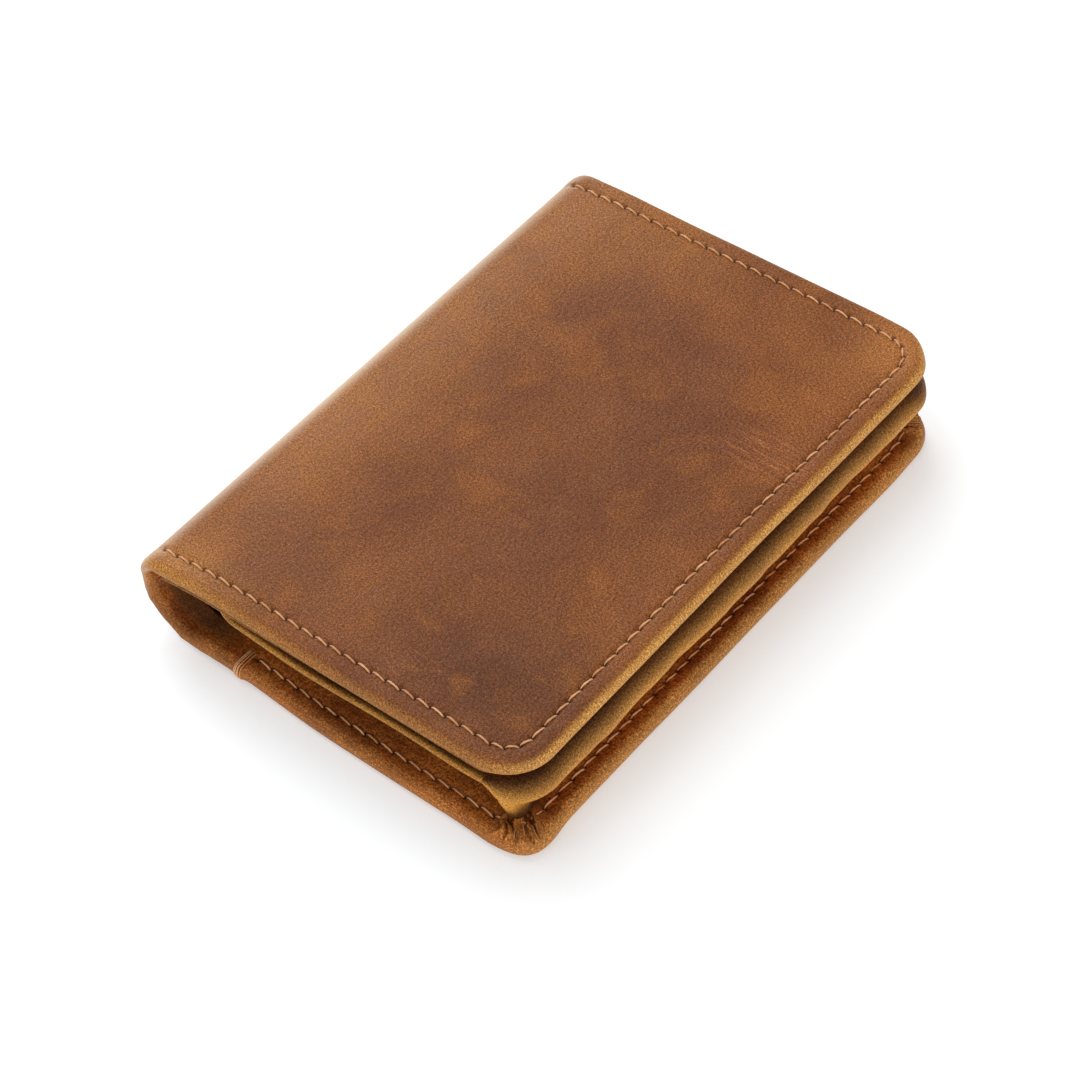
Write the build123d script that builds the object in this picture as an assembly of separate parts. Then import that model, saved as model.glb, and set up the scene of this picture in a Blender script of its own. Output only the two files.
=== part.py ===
from build123d import *
import os
from math import cos, radians, sin

# A closed trifold wallet lying on its back panel, in millimetres.
# +X runs from the spine to the free edge, +Y along the spine, +Z up.
# The origin is the centre of the bottom of the closed wallet's box.

# ---- driving dimensions ----
WIDTH = 84.0  # spine to free edge, closed
LENGTH = 120.0  # the front cover, between its short edges
HEIGHT = 20.5  # back panel's outer face to front cover's outer face
BACK_LENGTH = 118.0  # the back panel is drawn in a little by its gathered hem
FLAP_LENGTH = 117.0
FLAP_REACH = 67.5  # free edge to the flap's tip
CORNER = 9.0  # free corners, seen from above
CARD_WIDTH, CARD_LENGTH = 54.0, 85.6  # the cards it holds

# ---- leather ----
OUTER_LEATHER = 1.3  # one sheet in the real wallet: back, spine and front
FLAP_LEATHER = 1.0
BACK_PANEL = 1.0  # the back's pocket panel
LINING = 0.75  # the front's lining and the flap's inner leather
SLOT_LEATHER = 0.8
THIN_LEATHER = 0.6  # pocket layers between the front cover and the flap, and the flap's turned edge
PANEL_EDGE = 3.3  # thickness of the turned edge of the back and front panels
FLAP_EDGE = 3.6
FLAP_CLEARANCE = 0.8  # closed gap between the flap and the front cover
CARD_GAP = 0.85  # room for one card in a slot
BILL_GAP = 1.2  # room for notes behind the back's pocket panel
WINDOW_GAP = 1.2  # room for the clear film and one card
FILM = 0.3
FIT = 0.05  # clearance between pieces that are sewn face to face
INNER_FIT = 0.3  # clearance between a sheet's edge and the turned edge round it
FOLD_PLAY = 0.06  # clearance around the round bead of a fold

# ---- folds, seen in the X-Z section ----
LOWER_BEND = 11.0  # outer radius of the spine's sweep into the back panel
UPPER_BEND = 5.0  # outer radius of the spine's fold into the front cover
ROLL = 3.6  # outer radius of the leather roll that carries the flap
ROLL_WEB = 1.9  # outer radius of the bend from the roll down to the back's hem
ROLL_FOOT = 1.0  # radius of the bend from the web into its sewn foot
FOOT_LENGTH = 3.0

# ---- hems, seams and pockets ----
HEM_FREE = 8.5  # width of the turned hem along the free edge
HEM_SHORT = 7.0  # and along the short edges
FLAP_HEM = 6.0
HEM_CORNER = 2.0  # where two turned hems meet
EDGE_ROUND = 1.5
FLAP_EDGE_ROUND = 1.1
SEAM_INSET = 4.2  # edge to stitch row
BACK_SEAM_INSET = 3.6
FLAP_SEAM_INSET = 3.5
POCKET_SEAM_INSET = 1.5
SEAM_LEAD = 2.0  # from a fold or a mouth to a seam's first stitch
STITCH_PITCH = 3.1
STITCH_LENGTH = 2.5
STITCH_SLANT = 9.0  # degrees off the seam's direction
THREAD = 0.6
THREAD_SUNK = 0.1  # how deep a stitch's middle lies under the leather's face
GROOVE_DEPTH = 0.35  # the sewn groove that keeps the thread off the table
GROOVE_WIDTH = 1.0
TACK_COUNT = 4  # threads in one bar tack
TACK_STEP = 0.7
TACK_LENGTH = 3.2  # on the hem's face
TACK_DROP = 1.6  # round the hem's edge
MOUTH_INSET = 20.0  # spine to the mouths of the big pockets
SLOT_COUNT = 3
SLOT_STEP = 5.0
SLOT_LENGTH = 100.0
SKIRT = 1.0  # width of a pocket layer's sewn border
POCKET_CORNER = 3.0
WINDOW_BORDER = 5.0
WINDOW_CORNER = 4.0
SLIT_WIDTH = 1.0
SLIT_INSET = 4.0  # flap's hem to the slit
FRONT_SHORT = 0.5  # the front cover stops this much before the back panel
SPINE_SHORT = 1.0  # the spine's ends are drawn in by this much in all
HINGE_ENDS = 6.0  # the foot is skived this far from each end, over the hem's seam

LEFT, RIGHT = -WIDTH / 2, WIDTH / 2
POCKET_MOUTH = LEFT + MOUTH_INSET
POCKET_END = RIGHT - HEM_FREE - 1.0
FLAP_TOP = HEIGHT - PANEL_EDGE - FLAP_CLEARANCE
FLAP_BOTTOM = FLAP_TOP - FLAP_EDGE
FLAP_TIP = RIGHT - FLAP_REACH


# ---- helpers ----
def on_circle(centre, radius, angle):
    return (centre[0] + radius * cos(radians(angle)), centre[1] + radius * sin(radians(angle)))


def section_prism(section, length):
    """Extrudes a section drawn in X and Z along Y, to half the length each way."""
    return extrude(Plane.XZ * section, amount=length / 2, both=True)


def slab(outline, bottom, top):
    return extrude(Pos(0, 0, bottom) * outline, amount=top - bottom)


def upside_down(shape, height):
    """Turns a shape built upwards from Z = 0 so that it hangs from height."""
    return Pos(0, 0, height) * Rot(180, 0, 0) * shape


def panel_outline(x_open, x_closed, length, corner):
    """Plan outline of a panel whose two corners at x_closed are rounded."""
    outline = Pos((x_open + x_closed) / 2, 0) * Rectangle(abs(x_closed - x_open), length)
    corners = outline.vertices().filter_by_position(Axis.X, x_closed - 0.01, x_closed + 0.01)
    return fillet(corners, corner)


def turned_panel(x_open, x_closed, length, leather, channel, edge, edge_round, hems):
    """A leather panel, outer face down at Z = 0, its edge turned up and over on three sides.

    The side at x_open stays open. channel is the height of the space that the turned edge
    closes over, and hems holds the turned edge's width at x_closed and at the short sides.
    """
    side = 1 if x_closed > x_open else -1
    past = x_open - side
    panel = slab(panel_outline(x_open, x_closed, length, CORNER), 0, edge)
    rims = panel.edges().group_by(Axis.Z)[0] + panel.edges().group_by(Axis.Z)[-1]
    turned = [rim for rim in rims if abs(rim.center().X - x_open) > 0.5]
    panel = fillet(turned, edge_round)
    inside = panel_outline(past, x_closed - side * leather, length - 2 * leather, CORNER - leather)
    opening = panel_outline(past, x_closed - side * hems[0], length - 2 * hems[1], HEM_CORNER)
    return panel - slab(inside, leather, leather + channel) - slab(opening, leather, edge + 1)


def tray_pocket(x_mouth, x_end, length, base, gap, leather):
    """A pocket layer: a plate over a gap, closed by a skirt on three sides, open at x_mouth."""
    plate = slab(panel_outline(x_mouth, x_end, length, POCKET_CORNER), base, base + gap + leather)
    hollow = panel_outline(x_mouth - 1, x_end - SKIRT, length - 2 * SKIRT, POCKET_CORNER - SKIRT)
    return plate - slab(hollow, base - 1, base + gap)


def fold_bead(fold, leather):
    """Round end of a leather strip, concentric with the fold's axis."""
    return Pos(*fold) * Circle(leather / 2)


def fold_relief(fold, along, outward, leather):
    """What is cut from the leather beside a bead, so that it can swing outward about the fold.

    along is the direction, in degrees, in which the leather leaves the fold; outward is 1 when
    the wallet's outside is on its left and -1 when it is on its right.
    """
    reach = leather / 2 + FOLD_PLAY
    depth = 2 * leather
    notch = Pos((reach - 1) / 2, outward * depth / 2) * Rectangle(reach + 1, depth)
    return Pos(*fold) * (Circle(reach) + Rot(0, 0, along) * notch)


def arc_band(centre, radius, start, end, leather):
    """A strip of leather bent to an arc about centre, between two angles in degrees."""
    return trace(CenterArc((*centre, 0), radius, start, end - start), leather)


def one_stitch(length=STITCH_LENGTH):
    """A stitch lying along X."""
    end = (length - THREAD) / 2
    straight = Rot(0, 90, 0) * Cylinder(THREAD / 2, 2 * end)
    return straight + Pos(end, 0, 0) * Sphere(THREAD / 2) + Pos(-end, 0, 0) * Sphere(THREAD / 2)


def stitch_row(seam, height):
    """Separate stitches along a plan path, at one height."""
    count = round(seam.length / STITCH_PITCH)
    stitch = one_stitch()
    row = []
    for i in range(count):
        at = seam.length * (i + 0.5) / count
        place = seam.position_at(at, position_mode=PositionMode.LENGTH)
        heading = seam.tangent_at(at, position_mode=PositionMode.LENGTH)
        turn = Vector(1, 0, 0).get_signed_angle(heading, Vector(0, 0, 1))
        row.append(Pos(place.X, place.Y, height) * Rot(0, 0, turn + STITCH_SLANT) * stitch)
    return row


def edge_seam(x_start, x_closed, length, corner):
    """Plan path of a seam that follows a panel's edge round three sides."""
    half = length / 2
    side = 1 if x_closed > x_start else -1
    before = x_closed - side * corner
    ends = [(x_start, -half), (before, -half), (x_closed, corner - half)]
    ends += [(x_closed, half - corner), (before, half), (x_start, half)]
    near = Line(ends[0], ends[1])
    near_corner = TangentArc(ends[1], ends[2], tangent=(side, 0))
    free = Line(ends[2], ends[3])
    far_corner = TangentArc(ends[3], ends[4], tangent=(0, 1))
    far = Line(ends[4], ends[5])
    return Wire([piece.edge() for piece in (near, near_corner, free, far_corner, far)])


def straight_seam(x, length):
    return Wire([Line((x, -length / 2), (x, length / 2)).edge()])


def save(node, shape):
    """Writes one node; a list is a group of separate solids."""
    if isinstance(shape, list):
        shape = Compound(children=shape)
    shape.label = node
    export_step(shape, f"parts/{node}.step")


os.makedirs("parts", exist_ok=True)

# ---- fold geometry ----
lower_centre = (LEFT + LOWER_BEND, LOWER_BEND)
upper_centre = (LEFT + UPPER_BEND, HEIGHT - UPPER_BEND)
roll_centre = (RIGHT - ROLL, FLAP_TOP - ROLL)
lower_radius = LOWER_BEND - OUTER_LEATHER / 2
upper_radius = UPPER_BEND - OUTER_LEATHER / 2
roll_radius = ROLL - FLAP_LEATHER / 2
lower_fold = on_circle(lower_centre, lower_radius, 225)
upper_fold = on_circle(upper_centre, upper_radius, 135)
flap_fold = on_circle(roll_centre, roll_radius, 0)

# ---- back panel: outer leather with its turned hem ----
back_channel = BACK_PANEL + 2 * FIT
panel_hems = (HEM_FREE, HEM_SHORT)
back_bend = arc_band(lower_centre, lower_radius, 225, 270, OUTER_LEATHER)
back_bend -= fold_relief(lower_fold, 315, -1, OUTER_LEATHER)
back_leather = turned_panel(
    lower_centre[0], RIGHT, BACK_LENGTH, OUTER_LEATHER, back_channel, PANEL_EDGE, EDGE_ROUND, panel_hems
)
back_leather += section_prism(back_bend, BACK_LENGTH)
back_seam = edge_seam(
    POCKET_MOUTH + SEAM_LEAD,
    RIGHT - BACK_SEAM_INSET,
    BACK_LENGTH - 2 * BACK_SEAM_INSET,
    CORNER - BACK_SEAM_INSET,
)
back_leather -= slab(trace(back_seam, GROOVE_WIDTH), -1, GROOVE_DEPTH)
save("back_outer_leather", back_leather)

back_stitches = stitch_row(back_seam, PANEL_EDGE - THREAD_SUNK)
back_stitches += stitch_row(back_seam, THREAD / 2 + FIT)
save("back_edge_stitching", back_stitches)

# ---- back panel: the note pocket's wall and the card slots on it ----
panel_end = RIGHT - OUTER_LEATHER - INNER_FIT
panel_length = BACK_LENGTH - 2 * (OUTER_LEATHER + INNER_FIT)
panel_corner = CORNER - OUTER_LEATHER
flange_bottom = OUTER_LEATHER + FIT
pocket_top = OUTER_LEATHER + BILL_GAP + BACK_PANEL
plateau_end = RIGHT - HEM_FREE - 2 * INNER_FIT
plateau_length = BACK_LENGTH - 2 * HEM_SHORT - 4 * INNER_FIT
flange = panel_outline(POCKET_MOUTH, panel_end, panel_length, panel_corner)
plateau = panel_outline(POCKET_MOUTH, plateau_end, plateau_length, POCKET_CORNER)
note_room = panel_outline(
    POCKET_MOUTH - 1, plateau_end - SKIRT, plateau_length - 2 * SKIRT, POCKET_CORNER - SKIRT
)
back_pocket = slab(flange, flange_bottom, flange_bottom + BACK_PANEL)
back_pocket += slab(plateau, flange_bottom, pocket_top)
back_pocket -= slab(note_room, 0, OUTER_LEATHER + BILL_GAP)
save("back_pocket_panel", back_pocket)

slot_base = pocket_top
for i in range(SLOT_COUNT):
    slot_base += FIT / 2
    mouth = POCKET_MOUTH + SLOT_STEP * (i + 0.5)
    slot = tray_pocket(mouth, POCKET_END, SLOT_LENGTH, slot_base, CARD_GAP, SLOT_LEATHER)
    save(f"back_card_slot_{i + 1}", slot)
    slot_base += CARD_GAP + SLOT_LEATHER
top_mouth = POCKET_MOUTH + SLOT_STEP * (SLOT_COUNT - 0.5)
slot_seam = edge_seam(
    top_mouth + SEAM_LEAD / 2,
    POCKET_END - POCKET_SEAM_INSET,
    SLOT_LENGTH - 2 * POCKET_SEAM_INSET,
    POCKET_CORNER - 1,
)
save("back_slot_stitching", stitch_row(slot_seam, slot_base - THREAD_SUNK))

# ---- bar tacks that end the hem's seam at the pocket's mouth ----
tack_threads = []
for end in (-1, 1):
    for i in range(TACK_COUNT):
        x = POCKET_MOUTH + TACK_STEP * (i - 1.5)
        across = Pos(x, end * (BACK_LENGTH / 2 - EDGE_ROUND - TACK_LENGTH / 2), PANEL_EDGE - THREAD_SUNK)
        tack_threads.append(across * Rot(0, 0, 90) * one_stitch(TACK_LENGTH))
        upright = Pos(x, end * (BACK_LENGTH / 2 - THREAD_SUNK), PANEL_EDGE / 2)
        tack_threads.append(upright * Rot(0, 90, 0) * one_stitch(TACK_DROP))
save("bar_tacks", tack_threads)

# ---- spine: the outer leather between its two folds ----
spine_section = arc_band(lower_centre, lower_radius, 180, 225, OUTER_LEATHER)
spine_section += arc_band(upper_centre, upper_radius, 135, 180, OUTER_LEATHER)
spine_wall = Rectangle(OUTER_LEATHER, upper_centre[1] - lower_centre[1])
spine_section += Pos(LEFT + OUTER_LEATHER / 2, (upper_centre[1] + lower_centre[1]) / 2) * spine_wall
spine_section += fold_bead(lower_fold, OUTER_LEATHER) + fold_bead(upper_fold, OUTER_LEATHER)
save("spine_leather", section_prism(spine_section, LENGTH - SPINE_SHORT))

# ---- front cover ----
front_end = RIGHT - FRONT_SHORT
front_channel = LINING + 2 * FIT
front_bend = arc_band(upper_centre, upper_radius, 90, 135, OUTER_LEATHER)
front_bend -= fold_relief(upper_fold, 45, 1, OUTER_LEATHER)
front_panel = turned_panel(
    upper_centre[0], front_end, LENGTH, OUTER_LEATHER, front_channel, PANEL_EDGE, EDGE_ROUND, panel_hems
)
front_leather = upside_down(front_panel, HEIGHT) + section_prism(front_bend, LENGTH)
save("front_outer_leather", front_leather)

front_seam = edge_seam(
    upper_centre[0] + SEAM_LEAD, front_end - SEAM_INSET, LENGTH - 2 * SEAM_INSET, CORNER - SEAM_INSET
)
front_stitches = stitch_row(front_seam, HEIGHT - THREAD_SUNK)
front_stitches += stitch_row(front_seam, HEIGHT - PANEL_EDGE + THREAD_SUNK)
save("front_edge_stitching", front_stitches)

lining_top = HEIGHT - OUTER_LEATHER - FIT
lining_length = LENGTH - 2 * (OUTER_LEATHER + INNER_FIT)
lining_outline = panel_outline(POCKET_MOUTH, panel_end - FRONT_SHORT, lining_length, panel_corner)
save("front_lining", slab(lining_outline, lining_top - LINING, lining_top))

front_slot_top = lining_top - LINING - FIT / 2
front_slot_mouth = POCKET_MOUTH + SLOT_STEP / 2
front_slot_end = POCKET_END - FRONT_SHORT
front_slot = tray_pocket(front_slot_mouth, front_slot_end, SLOT_LENGTH, 0, CARD_GAP - FIT, THIN_LEATHER)
save("front_card_slot", upside_down(front_slot, front_slot_top))
front_slot_face = front_slot_top - CARD_GAP + FIT - THIN_LEATHER
front_slot_seam = edge_seam(
    front_slot_mouth + SEAM_LEAD,
    front_slot_end - POCKET_SEAM_INSET,
    SLOT_LENGTH - 2 * POCKET_SEAM_INSET,
    POCKET_CORNER - 1,
)
save("front_slot_stitching", stitch_row(front_slot_seam, front_slot_face + 2 * THREAD_SUNK))

# ---- flap: the third panel, hinged on a leather roll along the free edge ----
plan = slab(panel_outline(LEFT, RIGHT, FLAP_LENGTH, CORNER), 0, HEIGHT)
flap_channel = FLAP_EDGE - FLAP_LEATHER - THIN_LEATHER
flap_hems = (FLAP_HEM, FLAP_HEM)
flap_panel = turned_panel(
    roll_centre[0], FLAP_TIP, FLAP_LENGTH, FLAP_LEATHER, flap_channel, FLAP_EDGE, FLAP_EDGE_ROUND, flap_hems
)
roll_top = arc_band(roll_centre, roll_radius, 0, 90, FLAP_LEATHER)
roll_top -= fold_relief(flap_fold, 90, -1, FLAP_LEATHER)
flap_leather = upside_down(flap_panel, FLAP_TOP) + section_prism(roll_top, FLAP_LENGTH)
slit_x = FLAP_TIP + FLAP_HEM + SLIT_INSET
slit = Pos(slit_x, 0) * SlotOverall(CARD_LENGTH + 2 * SLIT_INSET, SLIT_WIDTH, rotation=90)
flap_leather = flap_leather & plan
flap_leather -= slab(slit, FLAP_TOP - 2 * FLAP_LEATHER, FLAP_TOP + 1)
save("flap_outer_leather", flap_leather)

flap_inner_bottom = FLAP_BOTTOM + THIN_LEATHER + FIT
flap_inner = panel_outline(
    roll_centre[0] - SKIRT,
    FLAP_TIP + FLAP_LEATHER + INNER_FIT,
    FLAP_LENGTH - 2 * (FLAP_LEATHER + INNER_FIT),
    CORNER - FLAP_LEATHER,
)
save("flap_inner_leather", slab(flap_inner, flap_inner_bottom, flap_inner_bottom + LINING))

window_mouth = FLAP_TIP + FLAP_HEM + INNER_FIT
window_end = window_mouth + CARD_WIDTH + SKIRT + 2 * INNER_FIT
window_length = CARD_LENGTH + 2 * SKIRT + 10 * INNER_FIT
window_x = (window_mouth + window_end) / 2
window_top = flap_inner_bottom - FIT / 2
frame = tray_pocket(window_mouth, window_end, window_length, 0, WINDOW_GAP, SLOT_LEATHER)
frame = upside_down(frame, window_top)
opening = Rectangle(CARD_WIDTH - 2 * WINDOW_BORDER, CARD_LENGTH - 2 * WINDOW_BORDER)
opening = Pos(window_x, 0) * fillet(opening.vertices(), WINDOW_CORNER)
frame -= slab(opening, 0, window_top)
save("flap_window_frame", frame)

film_bottom = window_top - WINDOW_GAP + FIT / 2
film_border = WINDOW_BORDER - 3.0
film = Pos(window_x, 0) * Rectangle(CARD_WIDTH - 2 * film_border, CARD_LENGTH - 2 * film_border)
save("flap_window", slab(film, film_bottom, film_bottom + FILM))
frame_seam = edge_seam(
    window_mouth + SEAM_LEAD / 2,
    window_end - POCKET_SEAM_INSET,
    window_length - 2 * POCKET_SEAM_INSET,
    POCKET_CORNER - 1,
)
frame_face = window_top - WINDOW_GAP - SLOT_LEATHER
save("flap_window_stitching", stitch_row(frame_seam, frame_face + THREAD_SUNK))

roll_seam_x = roll_centre[0] - 2.5
flap_seam = edge_seam(
    roll_seam_x - SEAM_LEAD,
    FLAP_TIP + FLAP_SEAM_INSET,
    FLAP_LENGTH - 2 * FLAP_SEAM_INSET,
    CORNER - FLAP_SEAM_INSET,
)
flap_stitches = stitch_row(flap_seam, FLAP_TOP - THREAD_SUNK)
flap_stitches += stitch_row(flap_seam, FLAP_BOTTOM + THREAD_SUNK)
roll_seam = straight_seam(roll_seam_x, FLAP_LENGTH - 2 * SEAM_INSET)
flap_stitches += stitch_row(roll_seam, FLAP_TOP - THREAD_SUNK)
save("flap_edge_stitching", flap_stitches)

# ---- flap's hinge leather: lower half of the roll, its web and the foot sewn to the back's hem ----
web_radius = ROLL_WEB - FLAP_LEATHER / 2
roll_bottom = roll_centre[1] - roll_radius
web_centre = (roll_centre[0], roll_bottom - web_radius)
web_x = web_centre[0] - web_radius
foot_height = PANEL_EDGE + FIT / 2 + FLAP_LEATHER / 2
foot_centre = (web_x - ROLL_FOOT, foot_height + ROLL_FOOT)
hinge = arc_band(roll_centre, roll_radius, -90, 0, FLAP_LEATHER) + fold_bead(flap_fold, FLAP_LEATHER)
hinge += arc_band(web_centre, web_radius, 90, 180, FLAP_LEATHER)
web_height = web_centre[1] - foot_centre[1]
hinge += Pos(web_x, foot_centre[1] + web_height / 2) * Rectangle(FLAP_LEATHER, web_height)
hinge += arc_band(foot_centre, ROLL_FOOT, 270, 360, FLAP_LEATHER)
hinge += Pos(foot_centre[0] - FOOT_LENGTH / 2, foot_height) * Rectangle(FOOT_LENGTH, FLAP_LEATHER)
hinge_leather = section_prism(hinge, FLAP_LENGTH) & plan
skived = Rectangle(WIDTH, LENGTH) - Rectangle(WIDTH, FLAP_LENGTH - 2 * HINGE_ENDS)
hinge_leather -= slab(skived, 0, PANEL_EDGE + THREAD / 2 + 2 * FIT)
save("flap_hinge_leather", hinge_leather)
foot_seam_length = FLAP_LENGTH - 2 * (HINGE_ENDS + SEAM_LEAD)
hinge_seam = straight_seam(foot_centre[0] - FOOT_LENGTH / 2, foot_seam_length)
save("flap_hinge_stitching", stitch_row(hinge_seam, foot_height + FLAP_LEATHER / 2 - THREAD_SUNK))
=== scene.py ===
import math

import bmesh
import bpy
import numpy as np
from mathutils import Matrix, Vector


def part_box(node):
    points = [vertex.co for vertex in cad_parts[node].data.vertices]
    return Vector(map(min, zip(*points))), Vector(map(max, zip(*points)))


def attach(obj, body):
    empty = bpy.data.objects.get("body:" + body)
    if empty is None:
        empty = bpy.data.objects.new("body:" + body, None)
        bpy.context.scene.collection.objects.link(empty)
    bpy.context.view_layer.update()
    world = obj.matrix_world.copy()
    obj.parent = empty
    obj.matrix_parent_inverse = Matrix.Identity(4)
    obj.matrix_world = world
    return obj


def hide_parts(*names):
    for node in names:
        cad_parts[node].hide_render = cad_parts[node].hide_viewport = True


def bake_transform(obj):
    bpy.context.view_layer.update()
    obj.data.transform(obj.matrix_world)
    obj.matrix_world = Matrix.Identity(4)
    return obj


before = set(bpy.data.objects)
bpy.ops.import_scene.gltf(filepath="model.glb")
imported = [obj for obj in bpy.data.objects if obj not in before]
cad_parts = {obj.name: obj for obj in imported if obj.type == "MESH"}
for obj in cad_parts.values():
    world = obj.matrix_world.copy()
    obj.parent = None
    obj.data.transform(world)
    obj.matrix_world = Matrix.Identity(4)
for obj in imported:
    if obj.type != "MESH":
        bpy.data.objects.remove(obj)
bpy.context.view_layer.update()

# A closed trifold wallet. Everything below is worked out in millimetres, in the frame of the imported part:
# +X from the spine to the free edge, +Y along the spine, +Z up. Meshes are scaled to metres when they are made.
MM = 0.001


# ---------------------------------------------------------------- sizes, read from the frame
def mm_box(node):
    low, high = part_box(node)
    return np.array(low) / MM, np.array(high) / MM


cover_low, cover_high = mm_box("front_outer_leather")
back_low, back_high = mm_box("back_outer_leather")
spine_low, spine_high = mm_box("spine_leather")
flap_low, flap_high = mm_box("flap_outer_leather")

LEFT = spine_low[0]
HEIGHT = cover_high[2]
EDGE = HEIGHT - cover_low[2]  # thickness of the cover's turned edge
CORNER = 9.0
LEATHER = 1.3
LOWER_BEND = 11.0
UPPER_BEND = 5.0
WALL_SPLIT = (LOWER_BEND + HEIGHT - UPPER_BEND) / 2
PITCH = 3.1
FINE = 8  # mesh columns per stitch
COARSE = 4  # border columns per column of the inner grid
THREAD = 0.17
FLAP_TOP = flap_high[2]
FLAP_HALF = (flap_high[1] - flap_low[1]) / 2 + 0.7  # the photo shows the flap almost as long as the cover
FLAP_TIP = flap_low[0] - 4.0  # and reaching nearer to the spine than its solid does
ROLL_START = flap_high[0] - CORNER


# ---------------------------------------------------------------- small maths
def smooth(x, a, b):
    t = np.clip((x - a) / (b - a), 0.0, 1.0)
    return t * t * (3 - 2 * t)


def bell(x, width):
    return np.exp(-((x / width) ** 2))


def lattice(ix, iy, iz, seed):
    h = (ix * 374761393 + iy * 668265263 + iz * 2147483647 + seed * 1274126177) & 0xFFFFFFFF
    h = ((h ^ (h >> 13)) * 1274126177) & 0xFFFFFFFF
    h = h ^ (h >> 16)
    return (h & 0xFFFF) / 32767.5 - 1.0


def waves(points, size, seed=0):
    """Smooth noise from -1 to 1 with features of the given size, the same each run."""
    q = np.asarray(points, float) / size
    base = np.floor(q).astype(np.int64)
    f = q - base
    f = f * f * (3 - 2 * f)
    total = 0.0
    for dx in (0, 1):
        for dy in (0, 1):
            for dz in (0, 1):
                w = (f[..., 0] if dx else 1 - f[..., 0]) * (f[..., 1] if dy else 1 - f[..., 1])
                w = w * (f[..., 2] if dz else 1 - f[..., 2])
                total = total + w * lattice(base[..., 0] + dx, base[..., 1] + dy, base[..., 2] + dz, seed)
    return total


# ---------------------------------------------------------------- meshes
def make_mesh(name, verts, faces, attributes, material, sharp=50.0):
    mesh = bpy.data.meshes.new(name)
    mesh.from_pydata((np.asarray(verts) * MM).tolist(), [], faces)
    for key, values in attributes.items():
        values = np.asarray(values, np.float32)
        if values.ndim == 2:
            mesh.attributes.new(key, "FLOAT_VECTOR", "POINT").data.foreach_set("vector", values.ravel())
        else:
            mesh.attributes.new(key, "FLOAT", "POINT").data.foreach_set("value", values)
    work = bmesh.new()
    work.from_mesh(mesh)
    bmesh.ops.recalc_face_normals(work, faces=work.faces)
    work.to_mesh(mesh)
    work.free()
    mesh.shade_smooth()
    mesh.set_sharp_from_angle(angle=math.radians(sharp))
    mesh.materials.append(material)
    obj = bpy.data.objects.new(name, mesh)
    bpy.context.scene.collection.objects.link(obj)
    return obj


def straight_section(x0, z0, direction, up=1):
    """A flat sheet that starts at x0 and runs along +X or -X; up is the side of its outer face."""

    def section(p):
        x = x0 + direction * p
        zero = np.zeros_like(x)
        return x, zero + z0, zero, zero + up

    return section


def bent_section(start, radius, wall, side):
    """The spine's wall, a quarter bend and then a flat panel: the cover for side 1, the back for side -1."""
    arc = radius * math.pi / 2

    def section(p):
        a = np.clip((p - wall) / radius, 0, math.pi / 2)
        on_wall = np.minimum(p, wall)
        flat = np.maximum(p - wall - arc, 0)
        x = LEFT + radius * (1 - np.cos(a)) + flat
        z = start + side * (on_wall + radius * np.sin(a))
        return x, z, -np.cos(a), side * np.sin(a)

    return section


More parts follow.
